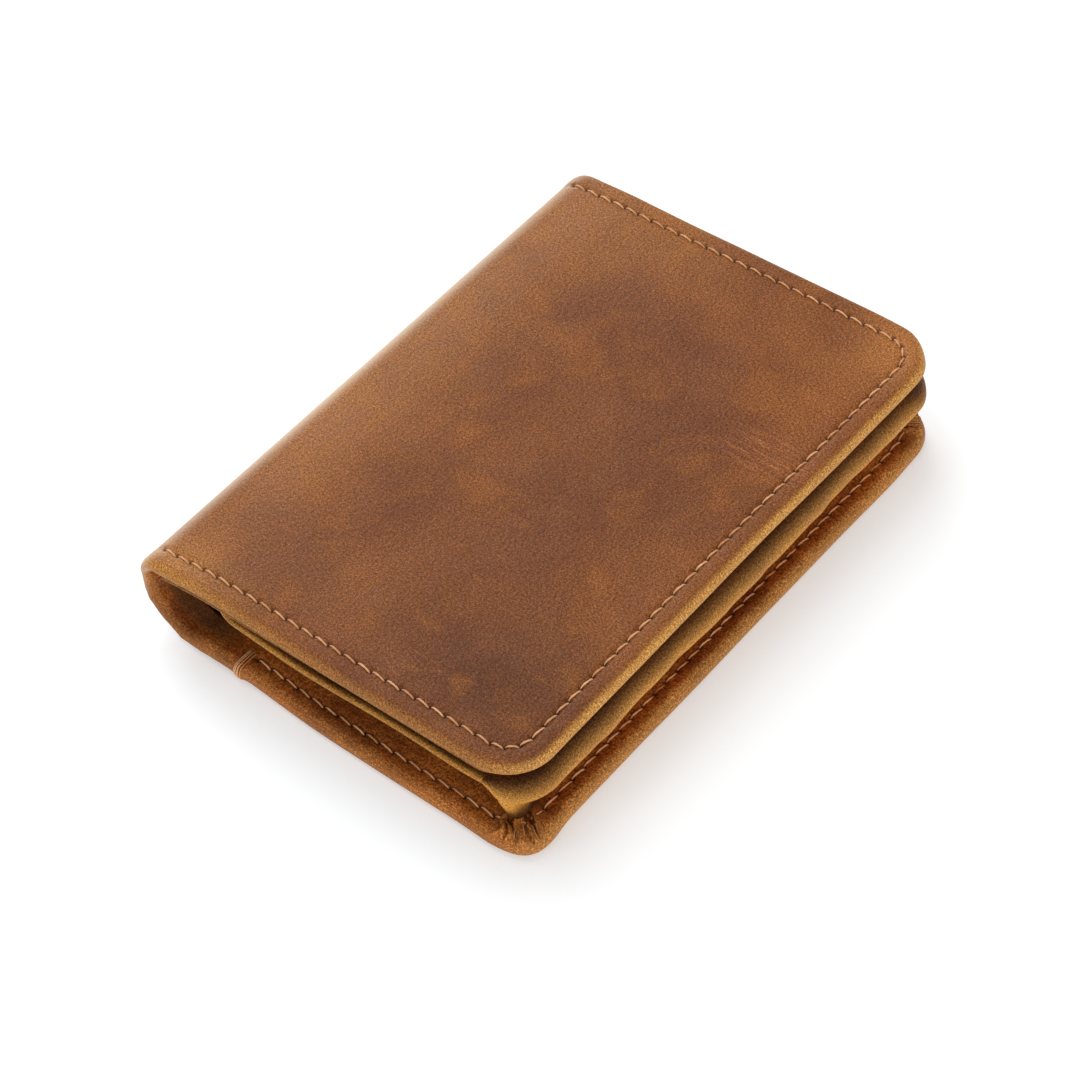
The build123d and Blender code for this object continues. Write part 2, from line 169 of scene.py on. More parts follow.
class Sheet:
    """A sewn sheet. Rings follow its edge round three sides; a coarser grid fills the middle.

    p runs from the open side (p = 0) to the free edge and y along the spine. profile is a list of
    rows (d, d_free, h, part): inset from the edge, extra inset along the free edge, depth under the
    outer face, and 0 outer face, 1 hem, 2 raw edge, 3 inner floor.
    """

    def __init__(self, reach, half, corner, section, profile, **options):
        self.reach, self.half, self.corner, self.section = reach, half, corner, section
        self.shape = options.get("shape")
        self.relief = options.get("relief")
        self.wear = options.get("wear", lambda inset, h, part, out: 0.6 * bell(np.maximum(inset - 1.0, 0), 0.8))
        self.painted_crease_shade = options.get("painted_crease_shade")
        self.fuzz = options.get("fuzz")
        self.fine_zone = options.get("fine_zone", (0.0, 0.0))
        self.seams = options.get("seams", [])
        pitch = options.get("pitch", PITCH)
        fine = options.get("fine", FINE)
        coarse = options.get("coarse", COARSE)
        corner_stitches = options.get("corner_stitches", 3)
        corner_steps = corner_stitches * options.get("corner_fine", fine)
        step = pitch / fine
        side = reach - corner
        count = int(side / step)
        self.p_lines = np.concatenate([[0.0], side - step * np.arange(count, -1, -1)])
        if self.p_lines[1] < 0.3 * step:
            self.p_lines = np.delete(self.p_lines, 1)
        run = 2 * (half - corner)
        stitches = max(1, round(run / pitch))
        self.y_lines = np.linspace(-run / 2, run / 2, stitches * fine + 1)
        n_p, n_y = len(self.p_lines), len(self.y_lines)
        phi = np.linspace(-math.pi / 2, 0, corner_steps + 1)[1:-1]
        base, out = [], []
        for p in self.p_lines:
            base.append((p, -run / 2)), out.append((0, -1))
        for a in phi:
            base.append((side, -run / 2)), out.append((math.cos(a), math.sin(a)))
        for y in self.y_lines:
            base.append((side, y)), out.append((1, 0))
        for a in phi:
            base.append((side, run / 2)), out.append((-math.sin(a), math.cos(a)))
        for p in self.p_lines[::-1]:
            base.append((p, run / 2)), out.append((0, 1))
        self.base, self.out = np.array(base, float), np.array(out, float)
        self.n_p, self.n_y, self.n_phi = n_p, n_y, len(phi)
        lines = self.p_lines
        keep = [i for i in range(n_p) if (n_p - 1 - i) % coarse == 0 or i == 0]
        keep += [i for i in range(n_p) if self.fine_zone[0] <= lines[i] <= self.fine_zone[1]]
        self.core_p = sorted(set(keep))
        self.core_y = [j for j in range(n_y) if j % coarse == 0]
        # stations where the needle went through, counted back from the corner on the two short sides
        near = [i for i in range(n_p) if (n_p - 1 - i) % fine == 0]
        first_free = n_p + self.n_phi
        per = corner_steps // corner_stitches
        holes = list(near)
        holes += [n_p - 1 + per * k for k in range(1, corner_stitches)]
        holes += [first_free + fine * k for k in range(stitches + 1)]
        last = first_free + n_y - 1
        holes += [last + per * k for k in range(1, corner_stitches)]
        total = len(self.base)
        holes += [total - 1 - i for i in near[::-1]]
        self.holes = holes
        self.profile = profile

    def ring(self, d, d_free):
        inset = d + d_free * self.out[:, 0] ** 2
        return self.base + (self.corner - inset)[:, None] * self.out, inset

    def place(self, p, y, h):
        """Where a point of the sheet is: p and y on the outer face, h below it."""
        x, z, nx, nz = self.section(p)
        pos = np.stack([x - nx * h, y + 0 * x, z - nz * h], -1)
        if self.shape:
            pos = self.shape(pos, p, y, h)
        return pos

    def seam_marks(self, plan, inset, part):
        """How much the thread presses the leather down, and the painted shade in the needle holes."""
        press = np.zeros(len(plan))
        dark = np.zeros(len(plan))
        for seam in self.seams:
            if part not in seam["parts"]:
                continue
            across = inset - seam["inset"]
            on = smooth(plan[:, 0], seam["start"] - 1.0, seam["start"])
            press += seam.get("groove", 0.22) * bell(across, 0.75) * on
            near_hole = np.zeros(len(plan))
            for i in self.holes:
                if self.base[i, 0] < seam["start"] - 0.2:
                    continue
                a, b = max(0, i - 3), min(len(plan), i + 4)
                gap = np.linalg.norm(plan[a:b] - plan[i], axis=1)
                near_hole[a:b] = np.maximum(near_hole[a:b], bell(gap, 0.42))
            spot = near_hole * bell(across, 0.42)
            press += 0.42 * spot
            dark = np.maximum(dark, spot)
        return press, dark

    def build(self, name, material, tone=0.0, inner=1.0, way=1):
        """Make the mesh. way -1 runs the leather's pattern backwards, so that it goes on across the spine."""
        verts, flat, wear, painted_shade, suede, turned = [], [], [], [], [], []
        core_p, core_y = self.p_lines[self.core_p], self.y_lines[self.core_y]
        gp, gy = np.meshgrid(core_p, core_y, indexing="ij")
        gp, gy = gp.ravel(), gy.ravel()

        def add(points, plan, depth, worn, dark, rough, over=0.0):
            start = sum(len(v) for v in verts)
            verts.append(points)
            flat.append(np.stack([plan[:, 0], plan[:, 1], depth + 0 * plan[:, 0]], -1))
            for store, value in ((wear, worn), (painted_shade, dark), (suede, rough), (turned, over)):
                store.append(np.zeros(len(points)) + value)
            return start

        def relief(plan, inset, h, part):
            return self.relief(plan, inset, h, part, self.out_at) if self.relief else 0.0

        rows = self.profile
        self.out_at = None
        core_plan = np.stack([gp, gy], -1)
        h = rows[0][2] + relief(core_plan, np.full(len(gp), 99.0), rows[0][2], 0)
        outer = add(self.place(gp, gy, h + 0 * gp), core_plan, 0.0, 0.0, 0.0, 0.0)
        h = rows[-1][2] + relief(core_plan, np.full(len(gp), 99.0), rows[-1][2], 3)
        floor = add(self.place(gp, gy, h + 0 * gp), core_plan, 40.0, 0.0, 0.0, inner)
        self.out_at = self.out
        starts, travelled, before = [], 0.0, None
        for d, d_free, h, part in rows:
            plan, inset = self.ring(d, d_free)
            if before is not None:
                travelled += math.hypot(d - before[0], h - before[1])
            else:
                travelled = self.corner - d
            before = (d, h)
            press, dark = self.seam_marks(plan, inset, part)
            sign = 1 if part == 0 else -1
            depth = h + sign * press + relief(plan, inset, h, part)
            worn = self.wear(inset, h, part, self.out) if part < 2 else np.zeros(len(plan))
            # painted shade in the pleats' folds, added to the needle holes' painted shade
            if self.painted_crease_shade:
                dark = np.maximum(dark, self.painted_crease_shade(plan, inset, part, self.out))
            if part == 0:
                unrolled = self.base + travelled * self.out
                level = 0.0
            elif part == 1:
                unrolled = self.base + travelled * self.out
                level = 3.0 * min(1.0, max(0.0, (h - 1.0)))
            else:
                unrolled = plan
                level = 40.0
            rough = 0.0 if part < 2 else (0.6 if part == 2 else inner)
            if self.fuzz:
                rough = np.maximum(rough, self.fuzz(plan, inset, part))
            if part == 2:
                worn = worn + 0.7
            over = float(smooth(h, 0.3 * rows[-1][2], 2.2 * rows[-1][2])) if part in (0, 1) else 0.0
            points = self.place(plan[:, 0], plan[:, 1], depth)
            starts.append(add(points, unrolled, level, worn, dark, rough, over))
        verts = np.concatenate(verts)
        n = len(self.base)
        across = len(self.core_y)

        def core_id(start, i, j):
            return start + i * across + j

        faces = []
        last_p, last_y = len(self.core_p) - 1, across - 1
        for start in (outer, floor):
            for i in range(last_p):
                for j in range(last_y):
                    a, b = core_id(start, i, j), core_id(start, i + 1, j)
                    faces.append((a, b, b + 1, a + 1))
        for r in range(len(starts) - 1):
            a, b = starts[r], starts[r + 1]
            faces += [(a + i, a + i + 1, b + i + 1, b + i) for i in range(n - 1)]
        p_slot = {i: k for k, i in enumerate(self.core_p)}
        y_slot = {j: k for k, j in enumerate(self.core_y)}
        for start, ring in ((outer, starts[0]), (floor, starts[-1])):
            of = []
            for i in range(self.n_p):
                of.append(core_id(start, p_slot[i], 0) if i in p_slot else None)
            of += [core_id(start, last_p, 0)] * self.n_phi
            for j in range(self.n_y):
                of.append(core_id(start, last_p, y_slot[j]) if j in y_slot else None)
            of += [core_id(start, last_p, last_y)] * self.n_phi
            for i in range(self.n_p - 1, -1, -1):
                of.append(core_id(start, p_slot[i], last_y) if i in p_slot else None)
            since = 0
            for i in range(1, n):
                if of[i] is None:
                    continue
                edge = [ring + k for k in range(i, since - 1, -1)]
                if of[i] == of[since]:
                    faces.append([of[i]] + edge)
                else:
                    faces.append([of[since], of[i]] + edge)
                since = i
        for j in range(last_y):
            a, b = core_id(outer, 0, j), core_id(floor, 0, j)
            faces.append((a, a + 1, b + 1, b))
        faces.append([core_id(outer, 0, 0)] + [s for s in starts] + [core_id(floor, 0, 0)])
        faces.append([core_id(outer, 0, last_y)] + [s + n - 1 for s in starts] + [core_id(floor, 0, last_y)])
        flat = np.concatenate(flat)
        flat[:, 0] = flat[:, 0] * way + tone
        attributes = {
            "flat": flat,
            "turned": np.concatenate(turned),
            "wear": np.concatenate(wear),
            "painted_shade": np.concatenate(painted_shade),
            "suede": np.concatenate(suede),
        }
        return make_mesh(name, verts, faces, attributes, material)

    def stitches(self, inset, start, h, side, slant=0.22, lift=0.1, stop=None):
        """Centre lines of a seam's stitches. side 1 is the outer face, -1 the inner one."""
        plan, _ = self.ring(inset, 0.0)
        lines = []
        u = np.linspace(0, 1, 11)
        for a, b in zip(self.holes[:-1], self.holes[1:]):
            if plan[a, 0] < start - 0.2 or plan[b, 0] < start - 0.2:
                continue
            if stop and not stop(plan[a], plan[b]):
                continue
            one, two = plan[a], plan[b]
            along = (two - one) / np.linalg.norm(two - one)
            side_way = np.array([-along[1], along[0]]) * slant
            one = one + side_way + along * 0.12
            two = two - side_way - along * 0.12
            line = one + (two - one) * u[:, None]
            arch = np.sin(math.pi * u) ** 0.5
            depth = h + side * (0.45 - (0.45 + lift) * arch)
            lines.append(self.place(line[:, 0], line[:, 1], depth))
        return lines


def straight_stitches(one, two, count, up, slant=0.14, lift=0.2, cover=0.88):
    """Centre lines of a straight row of stitches between two points."""
    one, two, up = (np.array(v, float) for v in (one, two, up))
    along = (two - one) / np.linalg.norm(two - one)
    side_way = np.cross(up, along)
    step = np.linalg.norm(two - one) / count
    u = np.linspace(0, 1, 11)
    lines = []
    for i in range(count):
        middle = one + along * step * (i + 0.5)
        a = middle - along * step * cover / 2 + side_way * slant
        b = middle + along * step * cover / 2 - side_way * slant
        arch = np.sin(math.pi * u)[:, None] ** 0.5
        lines.append(a + (b - a) * u[:, None] + up * ((0.45 + lift) * arch - 0.45))
    return lines


def thread_mesh(name, lines, material, radius=THREAD, sides=8, twist=2.2):
    """Two-ply threads swept along centre lines."""
    lines = np.array(lines)
    count, steps, _ = lines.shape
    ahead = np.gradient(lines, axis=1)
    ahead /= np.linalg.norm(ahead, axis=2, keepdims=True)
    chord = lines[:, -1] - lines[:, 0]
    chord /= np.linalg.norm(chord, axis=1, keepdims=True)
    bulge = lines[:, steps // 2] - (lines[:, 0] + lines[:, -1]) / 2
    bulge /= np.linalg.norm(bulge, axis=1, keepdims=True)
    side = np.cross(chord, bulge)[:, None, :] + 0 * ahead
    up = np.cross(side, ahead)
    angle = np.linspace(0, 2 * math.pi, sides, endpoint=False)
    turn = np.linspace(0, twist * math.pi, steps)
    u = np.linspace(-1, 1, steps)
    girth = radius * (1 - 0.35 * np.abs(u) ** 4)
    verts = np.zeros((count, steps, sides, 3))
    for k, a in enumerate(angle):
        ply = girth * (1 + 0.2 * np.cos(2 * (a - turn)))
        verts[:, :, k] = lines + (side * math.cos(a) + up * math.sin(a)) * ply[None, :, None]
    faces = []
    for c in range(count):
        base = c * steps * sides
        for s in range(steps - 1):
            a = base + s * sides
            for k in range(sides):
                j = (k + 1) % sides
                faces.append((a + k, a + j, a + sides + j, a + sides + k))
        faces.append(tuple(base + k for k in range(sides - 1, -1, -1)))
        faces.append(tuple(base + (steps - 1) * sides + k for k in range(sides)))
    shade = np.repeat(np.array([waves(line[5][None] * 3.1, 1.0, 7)[0] for line in lines]), steps * sides)
    return make_mesh(name, verts.reshape(-1, 3), faces, {"shade": shade}, material, sharp=80.0)


# ---------------------------------------------------------------- materials
def srgb(r, g, b):
    def linear(c):
        c /= 255
        return c / 12.92 if c <= 0.04045 else ((c + 0.055) / 1.055) ** 2.4

    return (linear(r), linear(g), linear(b), 1.0)


class Shader:
    """Short calls for building a node material."""

    def __init__(self, name):
        self.material = bpy.data.materials.new(name)
        self.material.use_nodes = True
        self.tree = self.material.node_tree
        self.tree.nodes.clear()
        self.output = self.tree.nodes.new("ShaderNodeOutputMaterial")
        self.surface = self.tree.nodes.new("ShaderNodeBsdfPrincipled")
        self.tree.links.new(self.surface.outputs[0], self.output.inputs[0])

    def link(self, value, socket):
        if isinstance(value, bpy.types.NodeSocket):
            self.tree.links.new(value, socket)
        else:
            socket.default_value = value

    def attribute(self, name, vector=False):
        node = self.tree.nodes.new("ShaderNodeAttribute")
        node.attribute_name = name
        return node.outputs["Vector" if vector else "Fac"]

    def maths(self, operation, a, b=0.0, c=0.0):
        node = self.tree.nodes.new("ShaderNodeMath")
        node.operation = operation
        self.link(a, node.inputs[0])
        self.link(b, node.inputs[1])
        self.link(c, node.inputs[2])
        return node.outputs[0]

    def stretch(self, vector, scale, offset=(0, 0, 0), turn=(0, 0, 0)):
        node = self.tree.nodes.new("ShaderNodeMapping")
        self.link(vector, node.inputs["Vector"])
        node.inputs["Location"].default_value = offset
        node.inputs["Rotation"].default_value = turn
        node.inputs["Scale"].default_value = scale
        return node.outputs[0]

    def noise(self, vector, scale, detail=3.0, roughness=0.55, distortion=0.0):
        node = self.tree.nodes.new("ShaderNodeTexNoise")
        self.link(vector, node.inputs["Vector"])
        node.inputs["Scale"].default_value = scale
        node.inputs["Detail"].default_value = detail
        node.inputs["Roughness"].default_value = roughness
        node.inputs["Distortion"].default_value = distortion
        return node.outputs["Fac"]

    def cells(self, vector, scale, feature="F1"):
        node = self.tree.nodes.new("ShaderNodeTexVoronoi")
        node.feature = feature
        self.link(vector, node.inputs["Vector"])
        node.inputs["Scale"].default_value = scale
        return node.outputs["Distance"]

    def ramp(self, value, low, high, to_low=0.0, to_high=1.0):
        node = self.tree.nodes.new("ShaderNodeMapRange")
        node.interpolation_type = "SMOOTHSTEP"
        self.link(value, node.inputs["Value"])
        for key, number in (("From Min", low), ("From Max", high), ("To Min", to_low), ("To Max", to_high)):
            node.inputs[key].default_value = number
        return node.outputs["Result"]

    def mix(self, factor, a, b, blend="MIX"):
        node = self.tree.nodes.new("ShaderNodeMix")
        node.data_type = "RGBA"
        node.blend_type = blend
        self.link(factor, node.inputs["Factor"])
        self.link(a, node.inputs["A"])
        self.link(b, node.inputs["B"])
        return node.outputs["Result"]

    def spot(self, vector, centre, size):
        """1 at centre, fading to 0 at size away; size has one value per axis."""
        scale = tuple(1.0 / s for s in size)
        offset = tuple(-c / s for c, s in zip(centre, size))
        node = self.tree.nodes.new("ShaderNodeVectorMath")
        node.operation = "LENGTH"
        self.link(self.stretch(vector, scale, offset), node.inputs[0])
        return self.ramp(node.outputs["Value"], 1.0, 0.0)

    def bump(self, height, strength, distance, normal=None):
        node = self.tree.nodes.new("ShaderNodeBump")
        self.link(height, node.inputs["Height"])
        node.inputs["Strength"].default_value = strength
        node.inputs["Distance"].default_value = distance
        if normal is not None:
            self.link(normal, node.inputs["Normal"])
        return node.outputs["Normal"]


def leather(name, dark, middle, light, worn, spots=(), **more):
    """Waxed pull-up leather: cloudy browns that turn tan where the hide is bent or rubbed.

    spots are broad areas of another colour, each (centre, size, colour, amount). wrinkles and haze are
    each the (centre, size) of an area, and hem holds the three browns of the turned hem. haze is a painted
    sheen: the colour turns pale cream where the surface faces away from the view.
    """
    shine, rough, shift = more.get("shine", 0.14), more.get("rough", 0.47), more.get("shift", 0.0)
    wrinkles, hem, haze = more.get("wrinkles"), more.get("hem"), more.get("haze")
    s = Shader(name)
    flat = s.stretch(s.attribute("flat", True), (1, 1, 1), (shift, shift * 0.7, 0))
    wear = s.attribute("wear")
    cloud = s.noise(flat, 0.034, 5, 0.58, 0.7)
    patch = s.noise(s.stretch(flat, (1, 1, 1), (31, 7, 0)), 0.085, 5, 0.62, 0.5)
    streak = s.noise(s.stretch(flat, (0.5, 1.6, 1), (3, 5, 0), (0, 0, 0.55)), 0.16, 6, 0.65, 1.0)
    speckle = s.noise(flat, 2.3, 4, 0.85)
    pores = s.noise(flat, 4.2, 2, 0.6)
    colour = s.mix(s.ramp(cloud, 0.31, 0.69), dark, middle)
    for centre, size, towards, amount in spots:
        fade = s.maths("MULTIPLY", s.spot(flat, centre, size), amount)
        fade = s.maths("MULTIPLY", fade, s.ramp(patch, 0.25, 0.62, 0.55, 1.0))
        colour = s.mix(fade, colour, towards)
    colour = s.mix(s.maths("MULTIPLY", s.ramp(patch, 0.5, 0.74), 0.34), colour, light)
    colour = s.mix(s.maths("MULTIPLY", s.ramp(streak, 0.56, 0.74), 0.24), colour, light)
    colour = s.mix(s.maths("MULTIPLY", s.ramp(streak, 0.46, 0.3), 0.15), colour, dark)
    if wrinkles:
        lines = s.noise(s.stretch(flat, (0.16, 2.2, 1)), 1.0, 4, 0.6, 0.5)
        lines = s.maths("MULTIPLY", s.ramp(lines, 0.46, 0.66), s.spot(flat, *wrinkles))
        colour = s.mix(s.maths("MULTIPLY", lines, 0.6), colour, srgb(196, 122, 66))
    if hem:
        inner = s.mix(s.ramp(cloud, 0.36, 0.64), hem[0], hem[1])
        inner = s.mix(s.maths("MULTIPLY", s.ramp(patch, 0.46, 0.7), 0.5), inner, hem[2])
        inner = s.mix(s.maths("MULTIPLY", s.ramp(streak, 0.46, 0.3), 0.35), inner, hem[0])
        colour = s.mix(s.attribute("turned"), colour, inner)
    rub = s.maths("MULTIPLY_ADD", patch, 0.9, 0.55)
    rub = s.maths("MULTIPLY", wear, rub)
    rub = s.maths("MINIMUM", rub, 1.0)
    colour = s.mix(rub, colour, worn)
    tick = s.ramp(speckle, 0.35, 0.65, 0.54, 1.5)
    tick = s.maths("MULTIPLY", tick, s.ramp(pores, 0.35, 0.65, 0.56, 1.46))
    grey = s.tree.nodes.new("ShaderNodeCombineColor")
    for socket in grey.inputs:
        s.link(tick, socket)
    colour = s.mix(1.0, colour, grey.outputs[0], "MULTIPLY")
    # haze is a painted sheen: base colour mixed towards pale cream where the surface faces away from the view, inside
    # the haze area
    if haze:
        turned_away = s.tree.nodes.new("ShaderNodeLayerWeight")
        turned_away.inputs["Blend"].default_value = 0.5
        painted_sheen = s.maths("MULTIPLY", s.ramp(turned_away.outputs["Facing"], 0.28, 0.8, 0.0, 0.6), s.spot(flat, *haze))
        colour = s.mix(painted_sheen, colour, srgb(232, 212, 184))
    suede = s.attribute("suede")
    fuzz = s.noise(flat, 2.6, 5, 0.8, 0.4)
    # the suede's browns are kept dark: partly its own colour, partly painted shade for the hollows inside the spine
    # where it shows
    raw = s.mix(s.ramp(fuzz, 0.34, 0.66), srgb(72, 40, 21), srgb(152, 102, 60))
    colour = s.mix(suede, colour, raw)
    # painted shade: needle holes and pleat folds mixed towards a near-black brown
    colour = s.mix(s.maths("MULTIPLY", s.attribute("painted_shade"), 0.93), colour, srgb(38, 18, 8))
    s.link(colour, s.surface.inputs["Base Color"])
    gloss = s.ramp(patch, 0.3, 0.7, rough - 0.06, rough + 0.08)
    gloss = s.maths("MULTIPLY_ADD", suede, 0.4, gloss)
    s.link(s.maths("MINIMUM", gloss, 1.0), s.surface.inputs["Roughness"])
    s.link(s.maths("MULTIPLY_ADD", suede, -0.9 * shine, shine), s.surface.inputs["Specular IOR Level"])
    s.surface.inputs["Sheen Weight"].default_value = 0.03
    s.surface.inputs["Sheen Roughness"].default_value = 0.45
    s.surface.inputs["Sheen Tint"].default_value = srgb(236, 190, 140)
    grain = s.cells(s.stretch(flat, (1, 1, 1), (0, 0, 0)), 1.25)
    crease = s.noise(s.stretch(flat, (1, 0.45, 1), (0, 0, 0), (0, 0, 0.8)), 0.55, 5, 0.7, 1.4)
    normal = s.bump(pores, 0.5, 0.00009)
    normal = s.bump(grain, 0.6, 0.0002, normal)
    normal = s.bump(crease, 0.5, 0.00022, normal)
    normal = s.bump(s.maths("MULTIPLY", fuzz, suede), 1.0, 0.0005, normal)
    s.link(normal, s.surface.inputs["Normal"])
    return s.material


def thread_material():
    s = Shader("waxed_thread")
    place = s.tree.nodes.new("ShaderNodeTexCoord").outputs["Object"]
    fibre = s.noise(place, 5200.0, 3, 0.7)
    tone = s.ramp(s.attribute("shade"), -0.9, 0.9)
    colour = s.mix(tone, srgb(206, 142, 88), srgb(244, 188, 132))
    colour = s.mix(s.ramp(fibre, 0.35, 0.7, 0.0, 0.4), colour, srgb(146, 88, 48))
    s.link(colour, s.surface.inputs["Base Color"])
    s.surface.inputs["Roughness"].default_value = 0.62
    s.surface.inputs["Sheen Weight"].default_value = 0.25
    s.link(s.bump(fibre, 0.5, 0.00006), s.surface.inputs["Normal"])
    return s.material


def film_material():
    s = Shader("clear_film")
    place = s.tree.nodes.new("ShaderNodeTexCoord").outputs["Object"]
    haze = s.noise(place, 260.0, 4, 0.6)
    s.surface.inputs["Base Color"].default_value = srgb(232, 236, 236)
    s.surface.inputs["Transmission Weight"].default_value = 0.92
    s.surface.inputs["IOR"].default_value = 1.45
    s.link(s.ramp(haze, 0.3, 0.75, 0.06, 0.22), s.surface.inputs["Roughness"])
    s.link(s.bump(haze, 0.3, 0.0002), s.surface.inputs["Normal"])
    return s.material


def floor_material():
    s = Shader("studio_floor")
    place = s.tree.nodes.new("ShaderNodeTexCoord").outputs["Object"]
    tint = s.noise(place, 3.0, 2, 0.5)
    s.link(s.mix(tint, srgb(222, 225, 227), srgb(226, 229, 231)), s.surface.inputs["Base Color"])
    s.surface.inputs["Roughness"].default_value = 0.9
    s.surface.inputs["Specular IOR Level"].default_value = 0.1
    s.surface.inputs["Emission Color"].default_value = (1, 1, 1, 1)
    s.surface.inputs["Emission Strength"].default_value = 0.36
    return s.material


DARK = srgb(111, 61, 31)
MIDDLE = srgb(138, 81, 37)
LIGHT = srgb(168, 105, 47)
WORN = srgb(200, 144, 74)
RED_BROWN = srgb(120, 61, 24)

outside = leather(
    "cover_leather",
    DARK,
    MIDDLE,
    LIGHT,
    WORN,
    spots=(
        ((58, -8, 0), (36, 52, 40), srgb(103, 56, 28), 0.7),
        ((72, -46, 0), (30, 24, 40), srgb(90, 49, 25), 0.95),
        ((34, -48, 0), (24, 16, 40), srgb(160, 104, 56), 0.15),
        ((82, 32, 0), (14, 28, 40), srgb(160, 94, 43), 0.5),
        ((8, 0, 0), (30, 90, 60), srgb(170, 110, 53), 0.62),
        ((24, 52, 0), (36, 26, 40), srgb(168, 109, 56), 0.6),
        ((12, -60, 0), (26, 12, 40), srgb(188, 128, 60), 0.7),
        ((84, 56, 0), (20, 20, 40), srgb(184, 119, 60), 0.7),
    ),
    wrinkles=((78, 20, 0), (13, 7, 9)),
    # haze: the area of painted sheen, along the outside of the spine
    haze=((5, 0, 0), (12, 140, 40)),
    hem=(RED_BROWN, srgb(166, 92, 36), srgb(196, 122, 54)),
)
# the flap's browns are darker than the cover's: partly its own leather, partly painted shade for where it lies under
# the cover
flap_leather_with_painted_shade = leather(
    "flap_leather_with_painted_shade",
    srgb(60, 32, 13),
    srgb(84, 47, 20),
    srgb(110, 65, 29),
    srgb(208, 146, 66),
    shine=0.07,
    shift=83.0,
)
lining = leather(
    "lining_leather", srgb(84, 48, 26), srgb(112, 68, 38), srgb(140, 90, 52), srgb(208, 158, 100), shift=23.0, shine=0.25, rough=0.6
)
thread = thread_material()
film = film_material()


# ---------------------------------------------------------------- edge profiles
def steps(a, b, size):
    count = max(1, int(round(abs(b - a) / size)))
    return np.linspace(a, b, count + 1)


def turned_profile(corner, edge, leather_depth, hem, hem_free, seam, round_d, puff=0.12, fine=0.34, raw=0.9):
    """Outer face, rolled rim, hem, the hem's raw edge and the floor inside it."""
    rows = []
    for d in steps(corner - fine, round_d, fine):
        swell = puff * smooth(d, seam + 0.4, seam - 1.0) * smooth(d, 0.0, 2.0)
        rows.append((d, 0.0, -swell, 0))
    for a in np.linspace(0, math.pi, 19)[1:-1]:
        part = 0 if a < math.pi * 0.75 else 1
        rows.append((round_d * (1 - math.sin(a) ** 0.85), 0.0, edge / 2 * (1 - math.cos(a)), part))
    for d in steps(round_d, hem, fine * 1.1):
        extra = (hem_free - hem) * (d - round_d) / (hem - round_d)
        swell = puff * 0.7 * smooth(d, seam + 0.4, seam - 1.0)
        rows.append((d, extra, edge + swell, 1))
    spread = hem_free - hem
    rows.append((hem + 0.1, spread, edge - 0.15, 2))
    rows.append((hem + 0.14, spread, edge - raw * 0.6, 2))
    rows.append((hem + 0.2, spread, edge - raw, 2))
    rows.append((hem + 0.32, spread, leather_depth, 3))
    rows.append((corner - 0.05, 0.0, leather_depth, 3))
    return rows


def plate_profile(corner, thickness, drop, border, rim=0.35, fine=0.45):
    """A pocket layer: its middle stands drop above its sewn border."""

    def fall(d):
        return drop * smooth(d, border + 1.1, border - 0.2)

    rows = [(d, 0.0, float(fall(d)), 0) for d in steps(corner - 0.1, rim, fine)]
    for a in np.linspace(0, math.pi, 9)[1:-1]:
        depth = float(fall(0.0)) + thickness / 2 * (1 - math.cos(a))
        rows.append((rim * (1 - math.sin(a)), 0.0, depth, 2))
    rows += [(d, 0.0, float(fall(d)) + thickness, 3) for d in steps(rim, corner - 0.1, fine * 2)]
    return rows


# ---------------------------------------------------------------- the outer sheet: cover, spine and back
SEAM = 4.2
BACK_SEAM = 3.6
SPINE_THIN = 0.8
SPINE_FALL = 1.1
SPLIT_TRIM = 0.5  # brings the cover and the back to one length where they meet in the spine
COVER_THIN = 1.2  # how much thinner the cover's turned edge is than the back's


def cover_fall(p):
    """How far the cover slopes down towards the spine."""
    turn = upper_wall + upper_arc / 2
    return SPINE_FALL * smooth(p, 0, turn) * (1 - smooth(p, turn, turn + 16))


def cover_ripple(p, y):
    """Waves in the cover's two short edges, mostly at their ends."""
    return 0.2 * waves(np.stack([p, 0 * p, 0 * p], -1), 27, 6) * np.clip(np.abs(y) / cover_high[1], 0, 1) ** 3


def cover_shape(pos, p, y, h):
    """The soft shape of the cover: a low crown, a drawn-in rim and slow waves."""
    out = pos.copy()
    along = np.clip(np.abs(y) / (cover_high[1]), 0, 1)
    out[..., 2] -= cover_fall(p)
    out[..., 1] *= 1 - SPLIT_TRIM / cover_high[1] * (1 - smooth(p, 0, 12))
    middle = smooth(p, 8, 34) * smooth(p, 88, 66) * (1 - along**4)
    grid = np.stack([p + 0 * y, y + 0 * p, 0 * p], -1)
    out[..., 2] += 0.35 * middle + 0.16 * waves(grid, 24, 3) * smooth(p, 4, 14)
    out[..., 2] += 0.07 * waves(grid, 9, 4) * smooth(p, 4, 14)
    edge_wave = 0.22 * waves(np.stack([0 * p, y + 0 * p, 0 * p], -1), 31, 5)
    out[..., 0] += edge_wave * smooth(p, 60, 88)
    out[..., 1] += cover_ripple(p, y) * smooth(p, 2, 12)
    out[..., 1] -= 0.7 * smooth(y, 30, 60) * bell(p - 27, 17) * smooth(p, 2, 12)
    at = np.stack([p - (cover_reach - CORNER), y - (cover_high[1] - CORNER)], -1)
    reach = np.maximum(np.linalg.norm(at, axis=-1), 1e-6)
    blunt = 0.7 * bell(np.degrees(np.arctan2(at[..., 1], at[..., 0])) - 45, 34) * smooth(reach, 2.0, 9.0)
    out[..., 0] -= blunt * at[..., 0] / reach
    out[..., 1] -= blunt * at[..., 1] / reach
    return out


